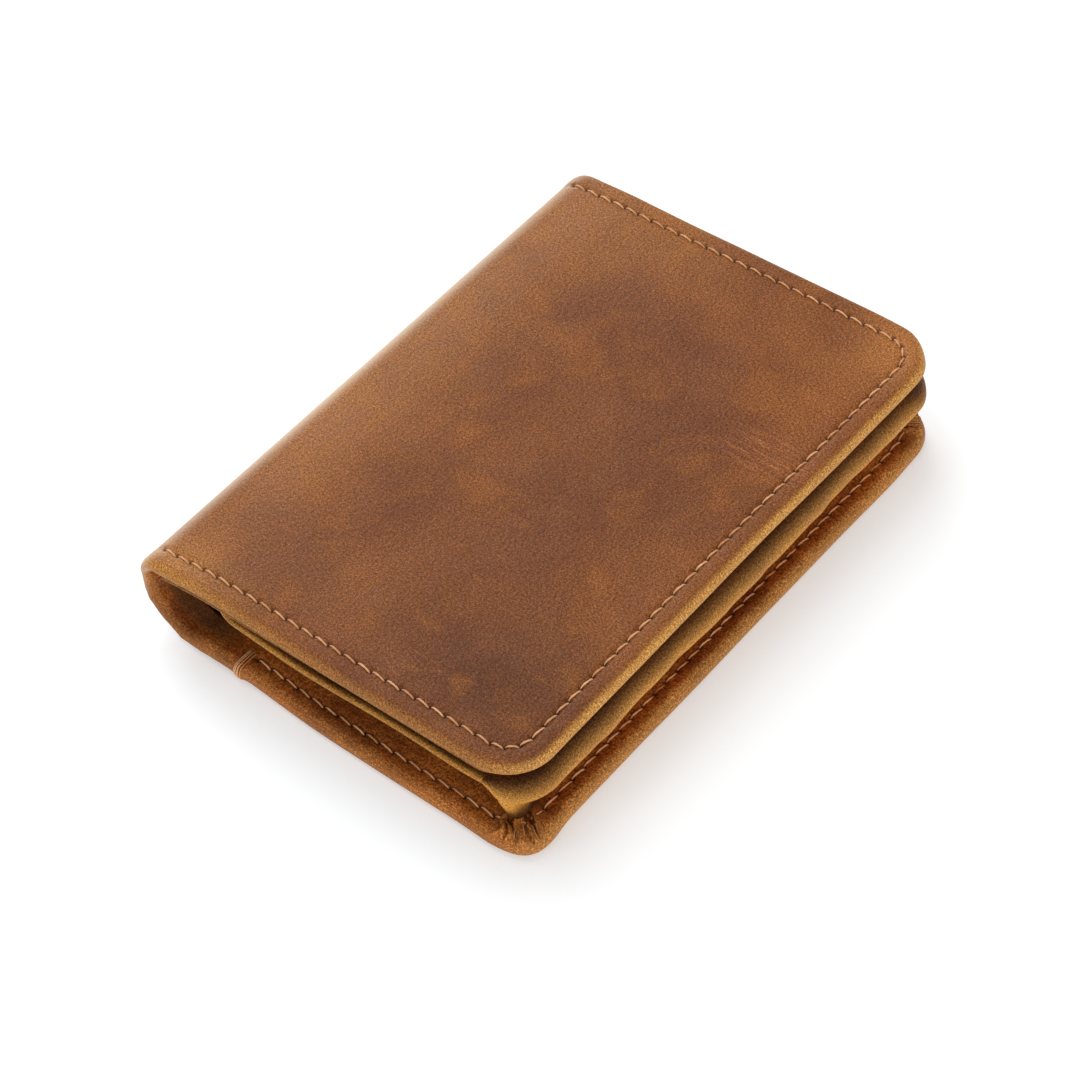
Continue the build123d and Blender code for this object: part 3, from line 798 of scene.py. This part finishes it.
def back_shape(pos, p, y, h):
    """The back's edge lifts off the table where the spine turns up and is pinched at the bar tacks."""
    out = pos.copy()
    side = smooth(np.abs(y), 44, back_high[1])
    x = pos[..., 0]
    out[..., 2] += 0.7 * side * bell(x + 25, 9) * smooth(p, 6, 14)
    out[..., 1] *= 1 + SPLIT_TRIM / back_high[1] * (1 - smooth(p, 0, 12))
    knot = bell(x + 21.2, 1.3) * smooth(np.abs(y), 55, back_high[1])
    out[..., 1] += np.sign(y) * 0.35 * knot
    # the near short side bellies out towards the free edge, and its corner is drawn to a point
    rim = smooth(np.abs(y), 42, 56)
    near = smooth(y, 0, -30)
    out[..., 1] -= near * rim * (1.75 * smooth(x, -34, 14) + 0.35 * bell(x + 25, 8))
    out[..., 0] += 0.5 * smooth(y, -30, 0) * smooth(y, 56, 40) * smooth(x, 30, 38)
    at = np.stack([x - (back_high[0] - CORNER), np.abs(y) - (back_high[1] - CORNER)], -1)
    reach = np.linalg.norm(at, axis=-1)
    angle = np.degrees(np.arctan2(at[..., 1], at[..., 0]))
    point = bell(angle - 37, 27) * smooth(reach, 3.0, 9.0) * (0.3 + 1.5 * near)
    out[..., 0] += point * at[..., 0] / np.maximum(reach, 1e-6)
    out[..., 1] += np.sign(y) * point * at[..., 1] / np.maximum(reach, 1e-6)
    # radial wrinkles where the edge goes round the spine
    wrinkle = smooth(p, 1, 5) * smooth(p, 26, 20) * smooth(np.abs(y), 53, 57)
    out[..., 1] += np.sign(y) * 0.2 * wrinkle * waves(np.stack([p, 0 * p, 0 * p + np.sign(y)], -1), 1.7, 14)
    grid = np.stack([p, y, 0 * p], -1)
    low = smooth(p, 10, 22)
    out[..., 2] += (0.16 * waves(grid, 19, 11) + 0.16) * low * side
    out[..., 0] += 0.25 * waves(np.stack([0 * p, y, 0 * p], -1), 23, 12) * smooth(x, 20, 42)
    out[..., 1] += 0.3 * waves(np.stack([p, 0 * p, 0 * p], -1), 15, 13) * side * low
    return out


def thin_spine(start, end):
    """Depths shrink in the spine, where the hem holds one layer less."""

    def relief(plan, inset, h, part, out):
        share = smooth(plan[:, 0], start, end)
        return (SPINE_THIN - 1) * h * (1 - share)

    return relief


def cover_relief(plan, inset, h, part, out):
    """The cover's turned edge is thinner than the back's, and so is its part in the spine."""
    change = thin_spine(upper_wall + 2, upper_wall + upper_arc + 4)(plan, inset, h, part, out)
    if out is None:
        return change
    turned = max(h - LEATHER, 0.0) / (EDGE - LEATHER)
    return change - COVER_THIN * turned * smooth(plan[:, 0], 0, 10)


PLEAT_ANGLE = 12.5  # degrees from one pleat to the next


def pleats(plan, inset, out):
    """Knife pleats in the hem's corners: how much of a pleat there is, and how far across it a point is."""
    angle = np.degrees(np.arctan2(np.abs(out[:, 1]), out[:, 0]))
    corner = smooth(angle, 12, 26) * smooth(angle, 84, 70)
    slip = 3.0 * np.sin(inset * 0.8 + plan[:, 1]) + 2.5 * np.sin(angle * 0.21)
    across = np.mod((angle + slip) / PLEAT_ANGLE, 1.0)
    return corner * smooth(inset, 0.0, 0.8) * smooth(inset, 6.5, 4.0), across


def back_relief(plan, inset, h, part, out):
    """Pleats in the hem's two corners, a flat underside, and the spine's thinner edge."""
    change = thin_spine(LOWER_BEND, 2 * LOWER_BEND + 8)(plan, inset, h, part, out)
    if out is None:
        return change
    if part == 0:
        return change + max(-h, 0.0)
    amount, across = pleats(plan, inset, out)
    step = across - smooth(across, 0.88, 1.0)
    rough = np.stack([plan[:, 0] + 1.3 * inset * out[:, 0], plan[:, 1] + 1.3 * inset * out[:, 1], 0 * inset], -1)
    crumple = 0.16 * waves(rough, 2.6, 15) + 0.08 * waves(rough, 1.1, 16)
    return change + amount * (1.2 * step - 0.2) + crumple * smooth(inset, 0.2, 1.6)


def pleat_painted_shade(plan, inset, part, out):
    """Painted shade: the dark line in the fold of each pleat."""
    if part != 1:
        return np.zeros(len(plan))
    amount, across = pleats(plan, inset, out)
    return 0.8 * amount * smooth(across, 0.84, 0.94) * smooth(inset, 0.8, 1.6)


def spine_fuzz(plan, inset, part):
    """Where the hem goes round the spine, its flesh side shows."""
    if part != 1:
        return 0.0
    return 0.8 * smooth(inset, 2.6, 4.4) * smooth(plan[:, 0], 27, 20)


def rim_wear(free, side, reach, corner=0.0):
    """Leather rubbed tan in a narrow band on the turn of the edge, by amounts for the free and the short sides."""

    def wear(inset, h, part, out):
        share = out[:, 0] ** 2
        band = (side + (free - side) * share) * bell(np.maximum(inset - reach, 0), 0.6)
        turning = np.abs(2 * out[:, 0] * out[:, 1])
        return np.maximum(band, corner * turning * bell(inset - 2.0, 2.6))

    return wear


upper_wall = HEIGHT - UPPER_BEND - WALL_SPLIT
lower_wall = WALL_SPLIT - LOWER_BEND
upper_arc = UPPER_BEND * math.pi / 2
lower_arc = LOWER_BEND * math.pi / 2
cover_reach = upper_wall + upper_arc + cover_high[0] - (LEFT + UPPER_BEND)
back_reach = lower_wall + lower_arc + back_high[0] - (LEFT + LOWER_BEND)
cover_seam_start = upper_wall + upper_arc - 3.2
tack_p = lower_wall + lower_arc + (-22.0 - (LEFT + LOWER_BEND))

cover = Sheet(
    cover_reach,
    cover_high[1],
    CORNER,
    bent_section(WALL_SPLIT, UPPER_BEND, upper_wall, 1),
    turned_profile(CORNER, EDGE, LEATHER, 7.0, 8.5, SEAM, 1.55),
    shape=cover_shape,
    relief=cover_relief,
    wear=rim_wear(0.95, 0.3, 0.35),
    fine_zone=(0.0, upper_wall + upper_arc + 2),
    seams=[
        {"inset": SEAM, "parts": (0,), "start": cover_seam_start},
        {"inset": SEAM, "parts": (1,), "start": cover_seam_start + 6},
    ],
)
back = Sheet(
    back_reach,
    back_high[1],
    CORNER,
    bent_section(WALL_SPLIT, LOWER_BEND, lower_wall, -1),
    turned_profile(CORNER, EDGE, LEATHER, 7.0, 8.5, BACK_SEAM, 1.55, puff=0.14),
    shape=back_shape,
    relief=back_relief,
    wear=rim_wear(0.55, 0.2, 0.9, 0.5),
    fuzz=spine_fuzz,
    painted_crease_shade=pleat_painted_shade,
    fine_zone=(0.0, lower_wall + lower_arc + 2),
    corner_fine=32,
    seams=[
        {"inset": BACK_SEAM, "parts": (0, 1), "start": tack_p + 1.5},
    ],
)
cover_piece = cover.build("cover_sheet", outside)
back_piece = back.build("back_sheet", outside, way=-1)


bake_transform(cover_piece)
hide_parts("front_outer_leather", "spine_leather")
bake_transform(back_piece)
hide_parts("back_outer_leather")

cover_threads = cover.stitches(SEAM, cover_seam_start, 0.22 - 0.12, 1)
cover_threads += cover.stitches(SEAM, cover_seam_start + 6, EDGE - COVER_THIN - 0.12, -1)
cover_thread = thread_mesh("cover_seam", cover_threads, thread)
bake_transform(cover_thread)
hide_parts("front_edge_stitching")

back_threads = back.stitches(BACK_SEAM, tack_p + 1.5, 0.3, 1, lift=-0.05)
back_threads += back.stitches(BACK_SEAM, tack_p + 1.5, EDGE - 0.1, -1)
back_thread = thread_mesh("hem_seam", back_threads, thread)
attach(back_thread, "back")
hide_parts("back_edge_stitching")

# ---------------------------------------------------------------- bar tacks
def tack_lines():
    """Threads that wrap the hem where its seam ends, and that hold the flap's gathered corners."""
    lines = []
    u = np.linspace(0, 1, 11)
    for end in (-1, 1):
        for k in range(4):
            p = tack_p + 0.42 * k + 0.12 * math.sin(5.0 * k)
            y = end * (back_high[1] - 4.2 + 3.0 * u)
            depth = EDGE + 0.02 * np.sin(math.pi * u) ** 0.5
            lines.append(back.place(p + 0 * u, y, depth))
            a = math.pi * (0.95 - 0.75 * u)
            y = end * (back_high[1] - 1.55 * (1 - np.sin(a) ** 0.85) + 0.04)
            depth = EDGE / 2 * (1 - np.cos(a))
            lines.append(back.place(p + 0 * u, y, depth))
    for end in (-1, 1):
        for phi, near, far in ((52, 1.3, 3.0), (41, 0.9, 3.4), (30, 0.9, 2.9)):
            e = np.array([math.cos(math.radians(phi)), end * math.sin(math.radians(phi))])
            d = far + (near - far) * u
            at = np.array([back_reach - CORNER, end * (back_high[1] - CORNER)]) + (CORNER - d)[:, None] * e
            depth = EDGE + 0.12 + 0.2 * np.sin(math.pi * u) ** 0.5
            lines.append(back.place(at[:, 0], at[:, 1], depth))
    return lines


tack_thread = thread_mesh("tack_threads", tack_lines(), thread, radius=0.12)
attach(tack_thread, "back")
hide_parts("bar_tacks")

# ---------------------------------------------------------------- the flap's panel
FLAP_EDGE = 1.4
FLAP_SEAM = 3.5
FLAP_DROOP = 1.5
FLAP_LIFT = 0.8  # the flap's own layers sit this much higher than their solids, right under its leather


def droop(x, y):
    """How far the flap's two short sides hang down, less at its tip."""
    return FLAP_DROOP * smooth(np.abs(y), 47, FLAP_HALF - 0.5) * (0.3 + 0.7 * smooth(x, FLAP_TIP, FLAP_TIP + 32))


def flap_shape(pos, p, y, h):
    out = pos.copy()
    out[..., 2] -= droop(pos[..., 0], y)
    rim = smooth(np.abs(y), 30, FLAP_HALF)
    grid = np.stack([p + 0 * y, y + 0 * p, 0 * p], -1)
    away = smooth(p, 0.0, 6.0)
    out[..., 2] += (0.14 * waves(grid, 22, 21) - 0.12) * away
    out[..., 1] += 0.25 * waves(np.stack([p, 0 * p, 0 * p], -1), 19, 22) * rim * away
    return out


flap = Sheet(
    ROLL_START - FLAP_TIP,
    FLAP_HALF,
    CORNER,
    straight_section(ROLL_START, FLAP_TOP, -1),
    turned_profile(CORNER, FLAP_EDGE, 0.8, 6.0, 6.0, FLAP_SEAM, 0.6, puff=0.05, raw=0.5),
    shape=flap_shape,
    wear=rim_wear(0.8, 0.55, 0.05),
    seams=[{"inset": FLAP_SEAM, "parts": (0, 1), "start": 1.5}],
)
flap_piece = flap.build("flap_sheet", flap_leather_with_painted_shade, tone=200.0)
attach(flap_piece, "flap")
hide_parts("flap_outer_leather")
flap_threads = flap.stitches(FLAP_SEAM, 1.5, 0.1, 1) + flap.stitches(FLAP_SEAM, 1.5, FLAP_EDGE - 0.1, -1)
row_x = ROLL_START + 2.9
row = (row_x, 1 - FLAP_HALF + FLAP_SEAM, FLAP_TOP - 0.12), (row_x, FLAP_HALF - FLAP_SEAM - 1, FLAP_TOP - 0.12)
flap_threads += straight_stitches(*row, 35, (0, 0, 1))
flap_thread = thread_mesh("flap_seam", flap_threads, thread)
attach(flap_thread, "flap")
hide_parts("flap_edge_stitching")

# ---------------------------------------------------------------- the leather roll that carries the flap
HEM_TOP = back_low[2] + EDGE
# How the roll's section changes round its gathered ends. Angle from the short side (-90) to the free side (0),
# then insets and heights: top of the bulge, its outermost height, its bottom, two points of the web,
# where the web lands on the hem, and the end of the sewn foot.
ROLL_KEYS = (
    (-90, 0.6, 15.7, 0.6, 15.0, 2.2, 15.0, 3.6, 15.0, 4.8, 15.0, 6.0, 15.0),
    (-82, 1.1, 15.1, 1.0, 13.6, 1.7, 13.3, 2.3, 12.9, 2.9, 12.5, 5.5, 12.9),
    (-74, 1.7, 14.1, 0.9, 11.0, 1.1, 9.8, 1.3, 9.0, 1.5, 8.3, 4.9, 9.6),
    (-66, 2.1, 13.8, 0.9, 10.2, 1.2, 8.2, 1.5, 6.6, 1.8, 5.2, 4.6, 5.4),
    (-57, 2.5, 13.5, 1.1, 9.6, 1.6, 7.4, 2.0, 5.4, 2.2, 3.9, 4.8, 3.8),
    (-44, 2.9, 13.2, 2.0, 9.3, 2.8, 7.5, 3.1, 5.5, 2.9, 3.7, 6.0, 3.6),
    (-28, 3.3, 12.9, 3.1, 9.2, 4.4, 7.8, 4.7, 5.6, 4.5, 3.55, 7.8, 3.5),
    (-8, 3.6, 12.8, 3.6, 9.2, 4.9, 7.9, 5.1, 5.6, 5.0, 3.5, 8.6, 3.45),
)


def spline(points, count):
    """Points at even steps along a smooth curve through the given ones."""
    points = np.array(points, float)
    padded = np.vstack([2 * points[0] - points[1], points, 2 * points[-1] - points[-2]])
    t = np.linspace(0, len(points) - 1 - 1e-9, count)
    i = t.astype(int)
    f = (t - i)[:, None]
    a, b, c, d = (padded[i + k] for k in range(4))
    return 0.5 * (2 * b + (c - a) * f + (2 * a - 5 * b + 4 * c - d) * f**2 + (3 * b - a - 3 * c + d) * f**3)


def roll_section(angle):
    keys = np.array(ROLL_KEYS, float)
    d_top, z_out, d_low, z_low, *web = (np.interp(angle, keys[:, 0], keys[:, k]) for k in range(1, 13))
    rows = [(d, FLAP_TOP) for d in np.linspace(CORNER - 0.01, d_top, 18)[:-1]]
    for a in np.linspace(0, math.pi / 2, 13)[:-1]:
        rows.append((d_top * (1 - math.sin(a)), z_out + (FLAP_TOP - z_out) * math.cos(a)))
    for a in np.linspace(0, math.pi / 2, 13)[:-1]:
        rows.append((d_low * (1 - math.cos(a)), z_out + (z_low - z_out) * math.sin(a)))
    tail = [(d_low, z_low)] + [(web[k], web[k + 1]) for k in range(0, 8, 2)]
    return rows + [tuple(q) for q in spline(tail, 30)]


def build_roll(name, material):
    stitches = round(2 * (FLAP_HALF - CORNER) / PITCH)
    run = FLAP_HALF - CORNER
    y_lines = np.linspace(-run, run, stitches * 6 + 1)
    phi = np.linspace(-90, 0, 46)
    stations = [(a, ROLL_START, -run) for a in phi[:-1]]
    stations += [(0.0, ROLL_START, y) for y in y_lines]
    stations += [(a, ROLL_START, run) for a in phi[::-1][1:]]
    outer, flat, wear = [], [], []
    for i, (a, x, y) in enumerate(stations):
        far = i >= len(phi) - 1 + len(y_lines)
        e = np.array([math.cos(math.radians(a)), math.sin(math.radians(a)) * (-1 if far else 1)])
        section = np.array(roll_section(a))
        gap = np.linalg.norm(np.diff(section, axis=0), axis=1)
        length = np.concatenate([[0], np.cumsum(gap)])
        at = np.array([x, y]) + (CORNER - section[:, :1]) * e
        outer.append(np.column_stack([at, section[:, 1]]))
        unrolled = np.array([x, y]) + length[:, None] * e
        flat.append(np.column_stack([ROLL_START - unrolled[:, 0] + 200.0, unrolled[:, 1], 0 * length]))
        k = np.arange(len(section))
        # tan where the roll's leather is stretched round its bulge; kept at the flap's dark browns at the top, under
        # the cover, and down on the web, as painted shade there
        stretched_tan_and_painted_shade = 0.85 * smooth(k, 20, 33) * smooth(k, 60, 46)
        wear.append(stretched_tan_and_painted_shade)
    outer, flat, wear = np.array(outer), np.array(flat), np.array(wear)
    rows = outer.shape[1]
    k = np.arange(rows)
    soft = smooth(k, 14, 22) * smooth(k, rows - 8, rows - 20)
    across = outer[..., 1]
    grid = np.stack([0.25 * flat[..., 0], across, 0 * across], -1)
    swell = 0.24 * waves(grid, 9.5, 31) + 0.1 * waves(grid, 3.1, 32)
    corner_zone = smooth(np.abs(across), run - 6, run + 3)
    angle = np.array([s[0] for s in stations])[:, None]
    gather = np.sin(np.radians(angle * 9)) * corner_zone * smooth(k, 36, 52) * 0.28
    ahead = np.gradient(outer, axis=0)
    down = np.gradient(outer, axis=1)
    normal = np.cross(ahead, down)
    normal /= np.maximum(np.linalg.norm(normal, axis=2, keepdims=True), 1e-9)
    centre = np.array([ROLL_START, 0, 8.0])
    if np.sum(normal[len(outer) // 2, 34] * (outer[len(outer) // 2, 34] - centre)) < 0:
        normal = -normal
    normal[:, 0] = (0, 0, 1)
    outer = outer + normal * (soft[None, :, None] * (swell + gather)[..., None])
    outer[..., 2] -= droop(outer[..., 0], outer[..., 1]) * smooth(outer[..., 2], 9.5, 14.0)
    far_end = smooth(outer[..., 1], 44, 54)
    outer[..., 0] += far_end * (0.5 * smooth(outer[..., 2], 10, 14) - 1.8 * bell(outer[..., 2] - 6.5, 3.0))
    thick = 1.0 - 0.45 * smooth(k, rows - 8, rows - 1)
    thin_end = 1.0 - 0.3 * corner_zone
    inner = outer - normal * (thick[None, :] * thin_end)[..., None]
    n = len(stations)
    verts = np.concatenate([outer.reshape(-1, 3), inner.reshape(-1, 3)])
    size = n * rows
    faces = []
    for shift in (0, size):
        for i in range(n - 1):
            a = shift + i * rows
            faces += [(a + r, a + r + 1, a + rows + r + 1, a + rows + r) for r in range(rows - 1)]
    for i in range(n - 1):
        a = i * rows
        faces.append((a, a + rows, a + rows + size, a + size))
        a += rows - 1
        faces.append((a, a + rows, a + rows + size, a + size))
    for i in (0, n - 1):
        a = i * rows
        faces += [(a + r, a + r + 1, a + r + 1 + size, a + r + size) for r in range(rows - 1)]
    attributes = {
        "flat": np.concatenate([flat.reshape(-1, 3), flat.reshape(-1, 3) + (0, 0, 40)]),
        "wear": np.concatenate([wear.ravel(), 0 * wear.ravel()]),
        "painted_shade": np.zeros(2 * size),
        "suede": np.concatenate([np.zeros(size), np.ones(size)]),
    }
    return make_mesh(name, verts, faces, attributes, material)


roll_piece = build_roll("flap_roll", flap_leather_with_painted_shade)
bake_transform(roll_piece)
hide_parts("flap_hinge_leather")
foot_low, foot_high = mm_box("flap_hinge_stitching")
foot_x = (foot_low[0] + foot_high[0]) / 2
foot_row = straight_stitches((foot_x, foot_low[1], HEM_TOP + 1.3), (foot_x, foot_high[1], HEM_TOP + 1.3), 33, (0, 0, 1))
foot_thread = thread_mesh("foot_seam", foot_row, thread)
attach(foot_thread, "back")
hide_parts("flap_hinge_stitching")


# ---------------------------------------------------------------- pockets and linings
def pocket(name, node, body, material, direction=1, up=1, corner=3.5, drop=0.9, trim=0.0, seed=0, **more):
    """A pocket layer or a lining in the place of a CAD plate, open at its start."""
    low, high = mm_box(node)
    low[2] += more.get("lift", 0.0)
    high[2] += more.get("lift", 0.0)
    low[0] -= more.get("mouth", 0.0)
    reach = high[0] - low[0] - trim
    start = low[0] if direction > 0 else high[0]
    sag = more.get("sag", lambda x, y: 0.0)
    depth = high[2] - low[2]
    thickness = more.get("thickness", depth - drop)

    def soft(pos, p, y, h):
        out = pos.copy()
        grid = np.stack([p, y, 0 * p], -1)
        out[..., 2] += up * 0.09 * waves(grid, 17, seed)
        out[..., 0] += 0.2 * waves(np.stack([0 * p, y, 0 * p], -1), 21, seed + 1) * smooth(p, 3, 0)
        out[..., 2] -= sag(pos[..., 0], y)
        return out

    sheet = Sheet(
        reach,
        (high[1] - low[1]) / 2 - trim + more.get("wide", 0.0),
        corner,
        straight_section(start, high[2] if up > 0 else low[2], direction, up),
        plate_profile(corner, thickness, drop, 1.0),
        shape=soft,
        coarse=6,
        pitch=3.0,
        fine=6,
        corner_stitches=2,
    )
    piece = sheet.build(name, material, tone=seed * 37.0)
    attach(piece, body)
    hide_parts(node)
    return sheet


pocket("note_pocket_panel", "back_pocket_panel", "back", lining, drop=1.1, trim=6.0, corner=4.0, seed=41)
slots = [pocket(f"back_slot_{i}", f"back_card_slot_{i}", "back", lining, drop=0.8, seed=41 + 2 * i) for i in (1, 2, 3)]


def lining_sag(x, y):
    """The lining's two short edges come out under the cover's hem, and it follows the cover's slope."""
    return 0.95 * smooth(np.abs(y), 50.5, 53.5) + cover_fall(x - LEFT - UPPER_BEND + upper_wall + upper_arc)


cover_layer = {"up": -1, "corner": 6.0, "drop": 0.0, "thickness": 0.5, "trim": 2.0, "mouth": 14.0, "wide": 3.1}
pocket("cover_lining", "front_lining", "front", lining, seed=51, sag=lining_sag, **cover_layer)
cover_slot = pocket("cover_slot", "front_card_slot", "front", lining, up=-1, drop=0.75, seed=53)
flap_layer = {"direction": -1, "up": -1, "corner": 6.0, "drop": 0.0, "thickness": 0.7, "lift": FLAP_LIFT}
flap_layer["sag"] = droop
pocket("flap_lining", "flap_inner_leather", "flap", lining, seed=55, **flap_layer)


def layer_seam(name, sheet, node, body, level, side=1):
    lines = sheet.stitches(1.6, 1.5, level, side, lift=0.22)
    piece = thread_mesh(name, lines, thread, radius=0.24)
    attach(piece, body)
    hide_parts(node)


layer_seam("back_slot_seam", slots[2], "back_slot_stitching", "back", 0.3)
layer_seam("cover_slot_seam", cover_slot, "front_slot_stitching", "front", 0.3)


def loop(low, high, radius, per_side=40, per_corner=8):
    """A rounded rectangle as evenly matched points, so that loops of different sizes can be joined."""
    points = []
    corners = [(high[0], low[1], -90), (high[0], high[1], 0), (low[0], high[1], 90), (low[0], low[1], 180)]
    for k, (cx, cy, first) in enumerate(corners):
        inx = cx - radius if cx == high[0] else cx + radius
        iny = cy - radius if cy == high[1] else cy + radius
        for a in np.linspace(first, first + 90, per_corner + 1):
            points.append((inx + radius * math.cos(math.radians(a)), iny + radius * math.sin(math.radians(a))))
        nx, ny, nfirst = corners[(k + 1) % 4]
        jnx = nx - radius if nx == high[0] else nx + radius
        jny = ny - radius if ny == high[1] else ny + radius
        start = np.array(points[-1])
        end = np.array([jnx + radius * math.cos(math.radians(nfirst)), jny + radius * math.sin(math.radians(nfirst))])
        for t in np.linspace(0, 1, per_side + 1)[1:-1]:
            points.append(tuple(start + (end - start) * t))
    return np.array(points)


def window_frame():
    """The frame of the flap's window, on its underside, with a soft edge round the opening."""
    low, high = mm_box("flap_window_frame")
    low[2] += FLAP_LIFT
    border = 7.0
    outer = loop(low[:2], high[:2], 3.0)
    inner = loop(low[:2] + (border, border + 1), high[:2] - (border, border + 1), 4.0)
    face, back_face = low[2], low[2] + 0.8
    rows = [(0.0, face + 0.95), (0.02, face + 0.6), (0.18, face + 0.42), (0.32, face + 0.1), (0.5, face)]
    rows += [(0.93, face), (0.98, face + 0.1), (1.0, face + 0.35), (0.98, face + 0.7), (0.93, back_face)]
    rows += [(0.45, back_face), (0.3, face + 1.0), (0.18, face + 1.25), (0.02, face + 1.25)]
    verts, faces = [], []
    n = len(outer)
    for t, z in rows:
        plan = outer + (inner - outer) * t
        verts.append(np.column_stack([plan, np.full(n, z)]))
    count = len(rows)
    for r in range(count):
        a, b = r * n, ((r + 1) % count) * n
        faces += [(a + i, a + (i + 1) % n, b + (i + 1) % n, b + i) for i in range(n)]
    verts = np.concatenate(verts)
    raw = np.tile(np.array([0.6 if r in (0, 1, 6, 7, 8, 13) else 0.0 for r in range(count)])[:, None], (1, n)).ravel()
    attributes = {"flat": verts * (1, 1, 3), "wear": raw, "painted_shade": 0 * raw, "suede": raw * 0.5}
    piece = make_mesh("window_frame", verts, faces, attributes, lining)
    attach(piece, "flap")
    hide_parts("flap_window_frame")
    seam_low, seam_high = mm_box("flap_window_stitching")
    z = face + 0.5
    corners = [(seam_low[0], seam_low[1]), (seam_high[0], seam_low[1]), (seam_high[0], seam_high[1])]
    corners += [(seam_low[0], seam_high[1])]
    lines = []
    for a, b in zip(corners[:-1], corners[1:]):
        a, b = np.array([*a, z]), np.array([*b, z])
        inset = (b - a) / np.linalg.norm(b - a) * 0.9
        lines += straight_stitches(a + inset, b - inset, round(np.linalg.norm(b - a) / PITCH), (0, 0, -1))
    seam = thread_mesh("window_seam", lines, thread, radius=0.24)
    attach(seam, "flap")
    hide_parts("flap_window_stitching")


window_frame()


def window_film():
    low, high = mm_box("flap_window")
    high[2] += FLAP_LIFT
    sheet = Sheet(
        high[0] - low[0],
        (high[1] - low[1]) / 2,
        2.0,
        straight_section(low[0], high[2], 1),
        [(d, 0.0, 0.0, 0) for d in (1.9, 1.2, 0.6, 0.15)]
        + [(0.04, 0.0, 0.05, 0), (0.0, 0.0, 0.15, 0), (0.04, 0.0, 0.25, 0)]
        + [(d, 0.0, 0.3, 0) for d in (0.15, 1.0, 1.9)],
        shape=lambda pos, p, y, h: pos + np.stack([0 * p, 0 * p, 0.05 * waves(np.stack([p, y, 0 * p], -1), 18, 61)], -1),
        pitch=3.0,
        fine=3,
        coarse=3,
        corner_stitches=2,
    )
    piece = sheet.build("window_film", film, inner=0.0)
    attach(piece, "flap")
    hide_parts("flap_window")


window_film()

# ---------------------------------------------------------------- camera, floor and light
VIEW_AIM = Vector((5.96, -10.89, 10.25)) * MM
VIEW_DISTANCE = 0.544
VIEW_AZIMUTH = math.radians(41.99)
VIEW_ELEVATION = math.radians(48.35)
VIEW_ROLL = math.radians(-4.46)
VIEW_LENS = 106.0

camera_data = bpy.data.cameras.new("camera")
camera_data.lens = VIEW_LENS
camera_data.clip_start = 0.01
camera = bpy.data.objects.new("camera", camera_data)
bpy.context.scene.collection.objects.link(camera)
towards = Vector(
    (
        math.cos(VIEW_ELEVATION) * math.sin(VIEW_AZIMUTH),
        -math.cos(VIEW_ELEVATION) * math.cos(VIEW_AZIMUTH),
        math.sin(VIEW_ELEVATION),
    )
)
camera.location = VIEW_AIM + towards * VIEW_DISTANCE
facing = towards.to_track_quat("Z", "Y").to_matrix().to_4x4()
camera.matrix_world = Matrix.Translation(camera.location) @ facing @ Matrix.Rotation(VIEW_ROLL, 4, "Z")
bpy.context.scene.camera = camera


def make_floor():
    """A wide pale floor with a gently raised rim far away, so that no horizon shows."""
    rings, spokes = 26, 64
    verts, faces = [(0, 0, 0)], []
    for i in range(1, rings + 1):
        r = 3000.0 * (i / rings) ** 1.6
        rise = 260.0 * max(0.0, (r - 2200) / 800) ** 2
        for k in range(spokes):
            angle = 2 * math.pi * k / spokes
            verts.append((r * math.cos(angle), r * math.sin(angle), rise))
    faces += [(0, 1 + k, 1 + (k + 1) % spokes) for k in range(spokes)]
    for i in range(rings - 1):
        a, b = 1 + i * spokes, 1 + (i + 1) * spokes
        faces += [(a + k, b + k, b + (k + 1) % spokes, a + (k + 1) % spokes) for k in range(spokes)]
    return make_mesh("studio_floor", verts, faces, {}, floor_material())


make_floor()


def area_light(name, place, size, power, aim=(0, 0, 0), colour=(1, 1, 1)):
    data = bpy.data.lights.new(name, "AREA")
    data.shape = "RECTANGLE"
    data.size, data.size_y = size
    data.energy = power
    data.color = colour
    light = bpy.data.objects.new(name, data)
    bpy.context.scene.collection.objects.link(light)
    light.location = Vector(place)
    light.rotation_euler = (Vector(place) - Vector(aim)).to_track_quat("Z", "Y").to_euler()
    return light


area_light("overhead_softbox", (-0.5, 0.2, 1.05), (1.0, 0.9), 7.8)
area_light("side_softbox", (1.0, -0.45, 0.3), (0.9, 0.5), 4.6)
area_light("rear_softbox", (-1.0, 0.6, 0.35), (0.8, 0.4), 5.0)
area_light("front_softbox", (-0.25, -1.1, 0.5), (0.8, 0.5), 2.2)
world = bpy.data.worlds.new("studio")
world.use_nodes = True
world.node_tree.nodes["Background"].inputs["Color"].default_value = (1.0, 1.0, 1.0, 1)
world.node_tree.nodes["Background"].inputs["Strength"].default_value = 0.4
bpy.context.scene.world = world
bpy.context.scene.view_settings.view_transform = "Standard"
bpy.context.scene.view_settings.look = "None"
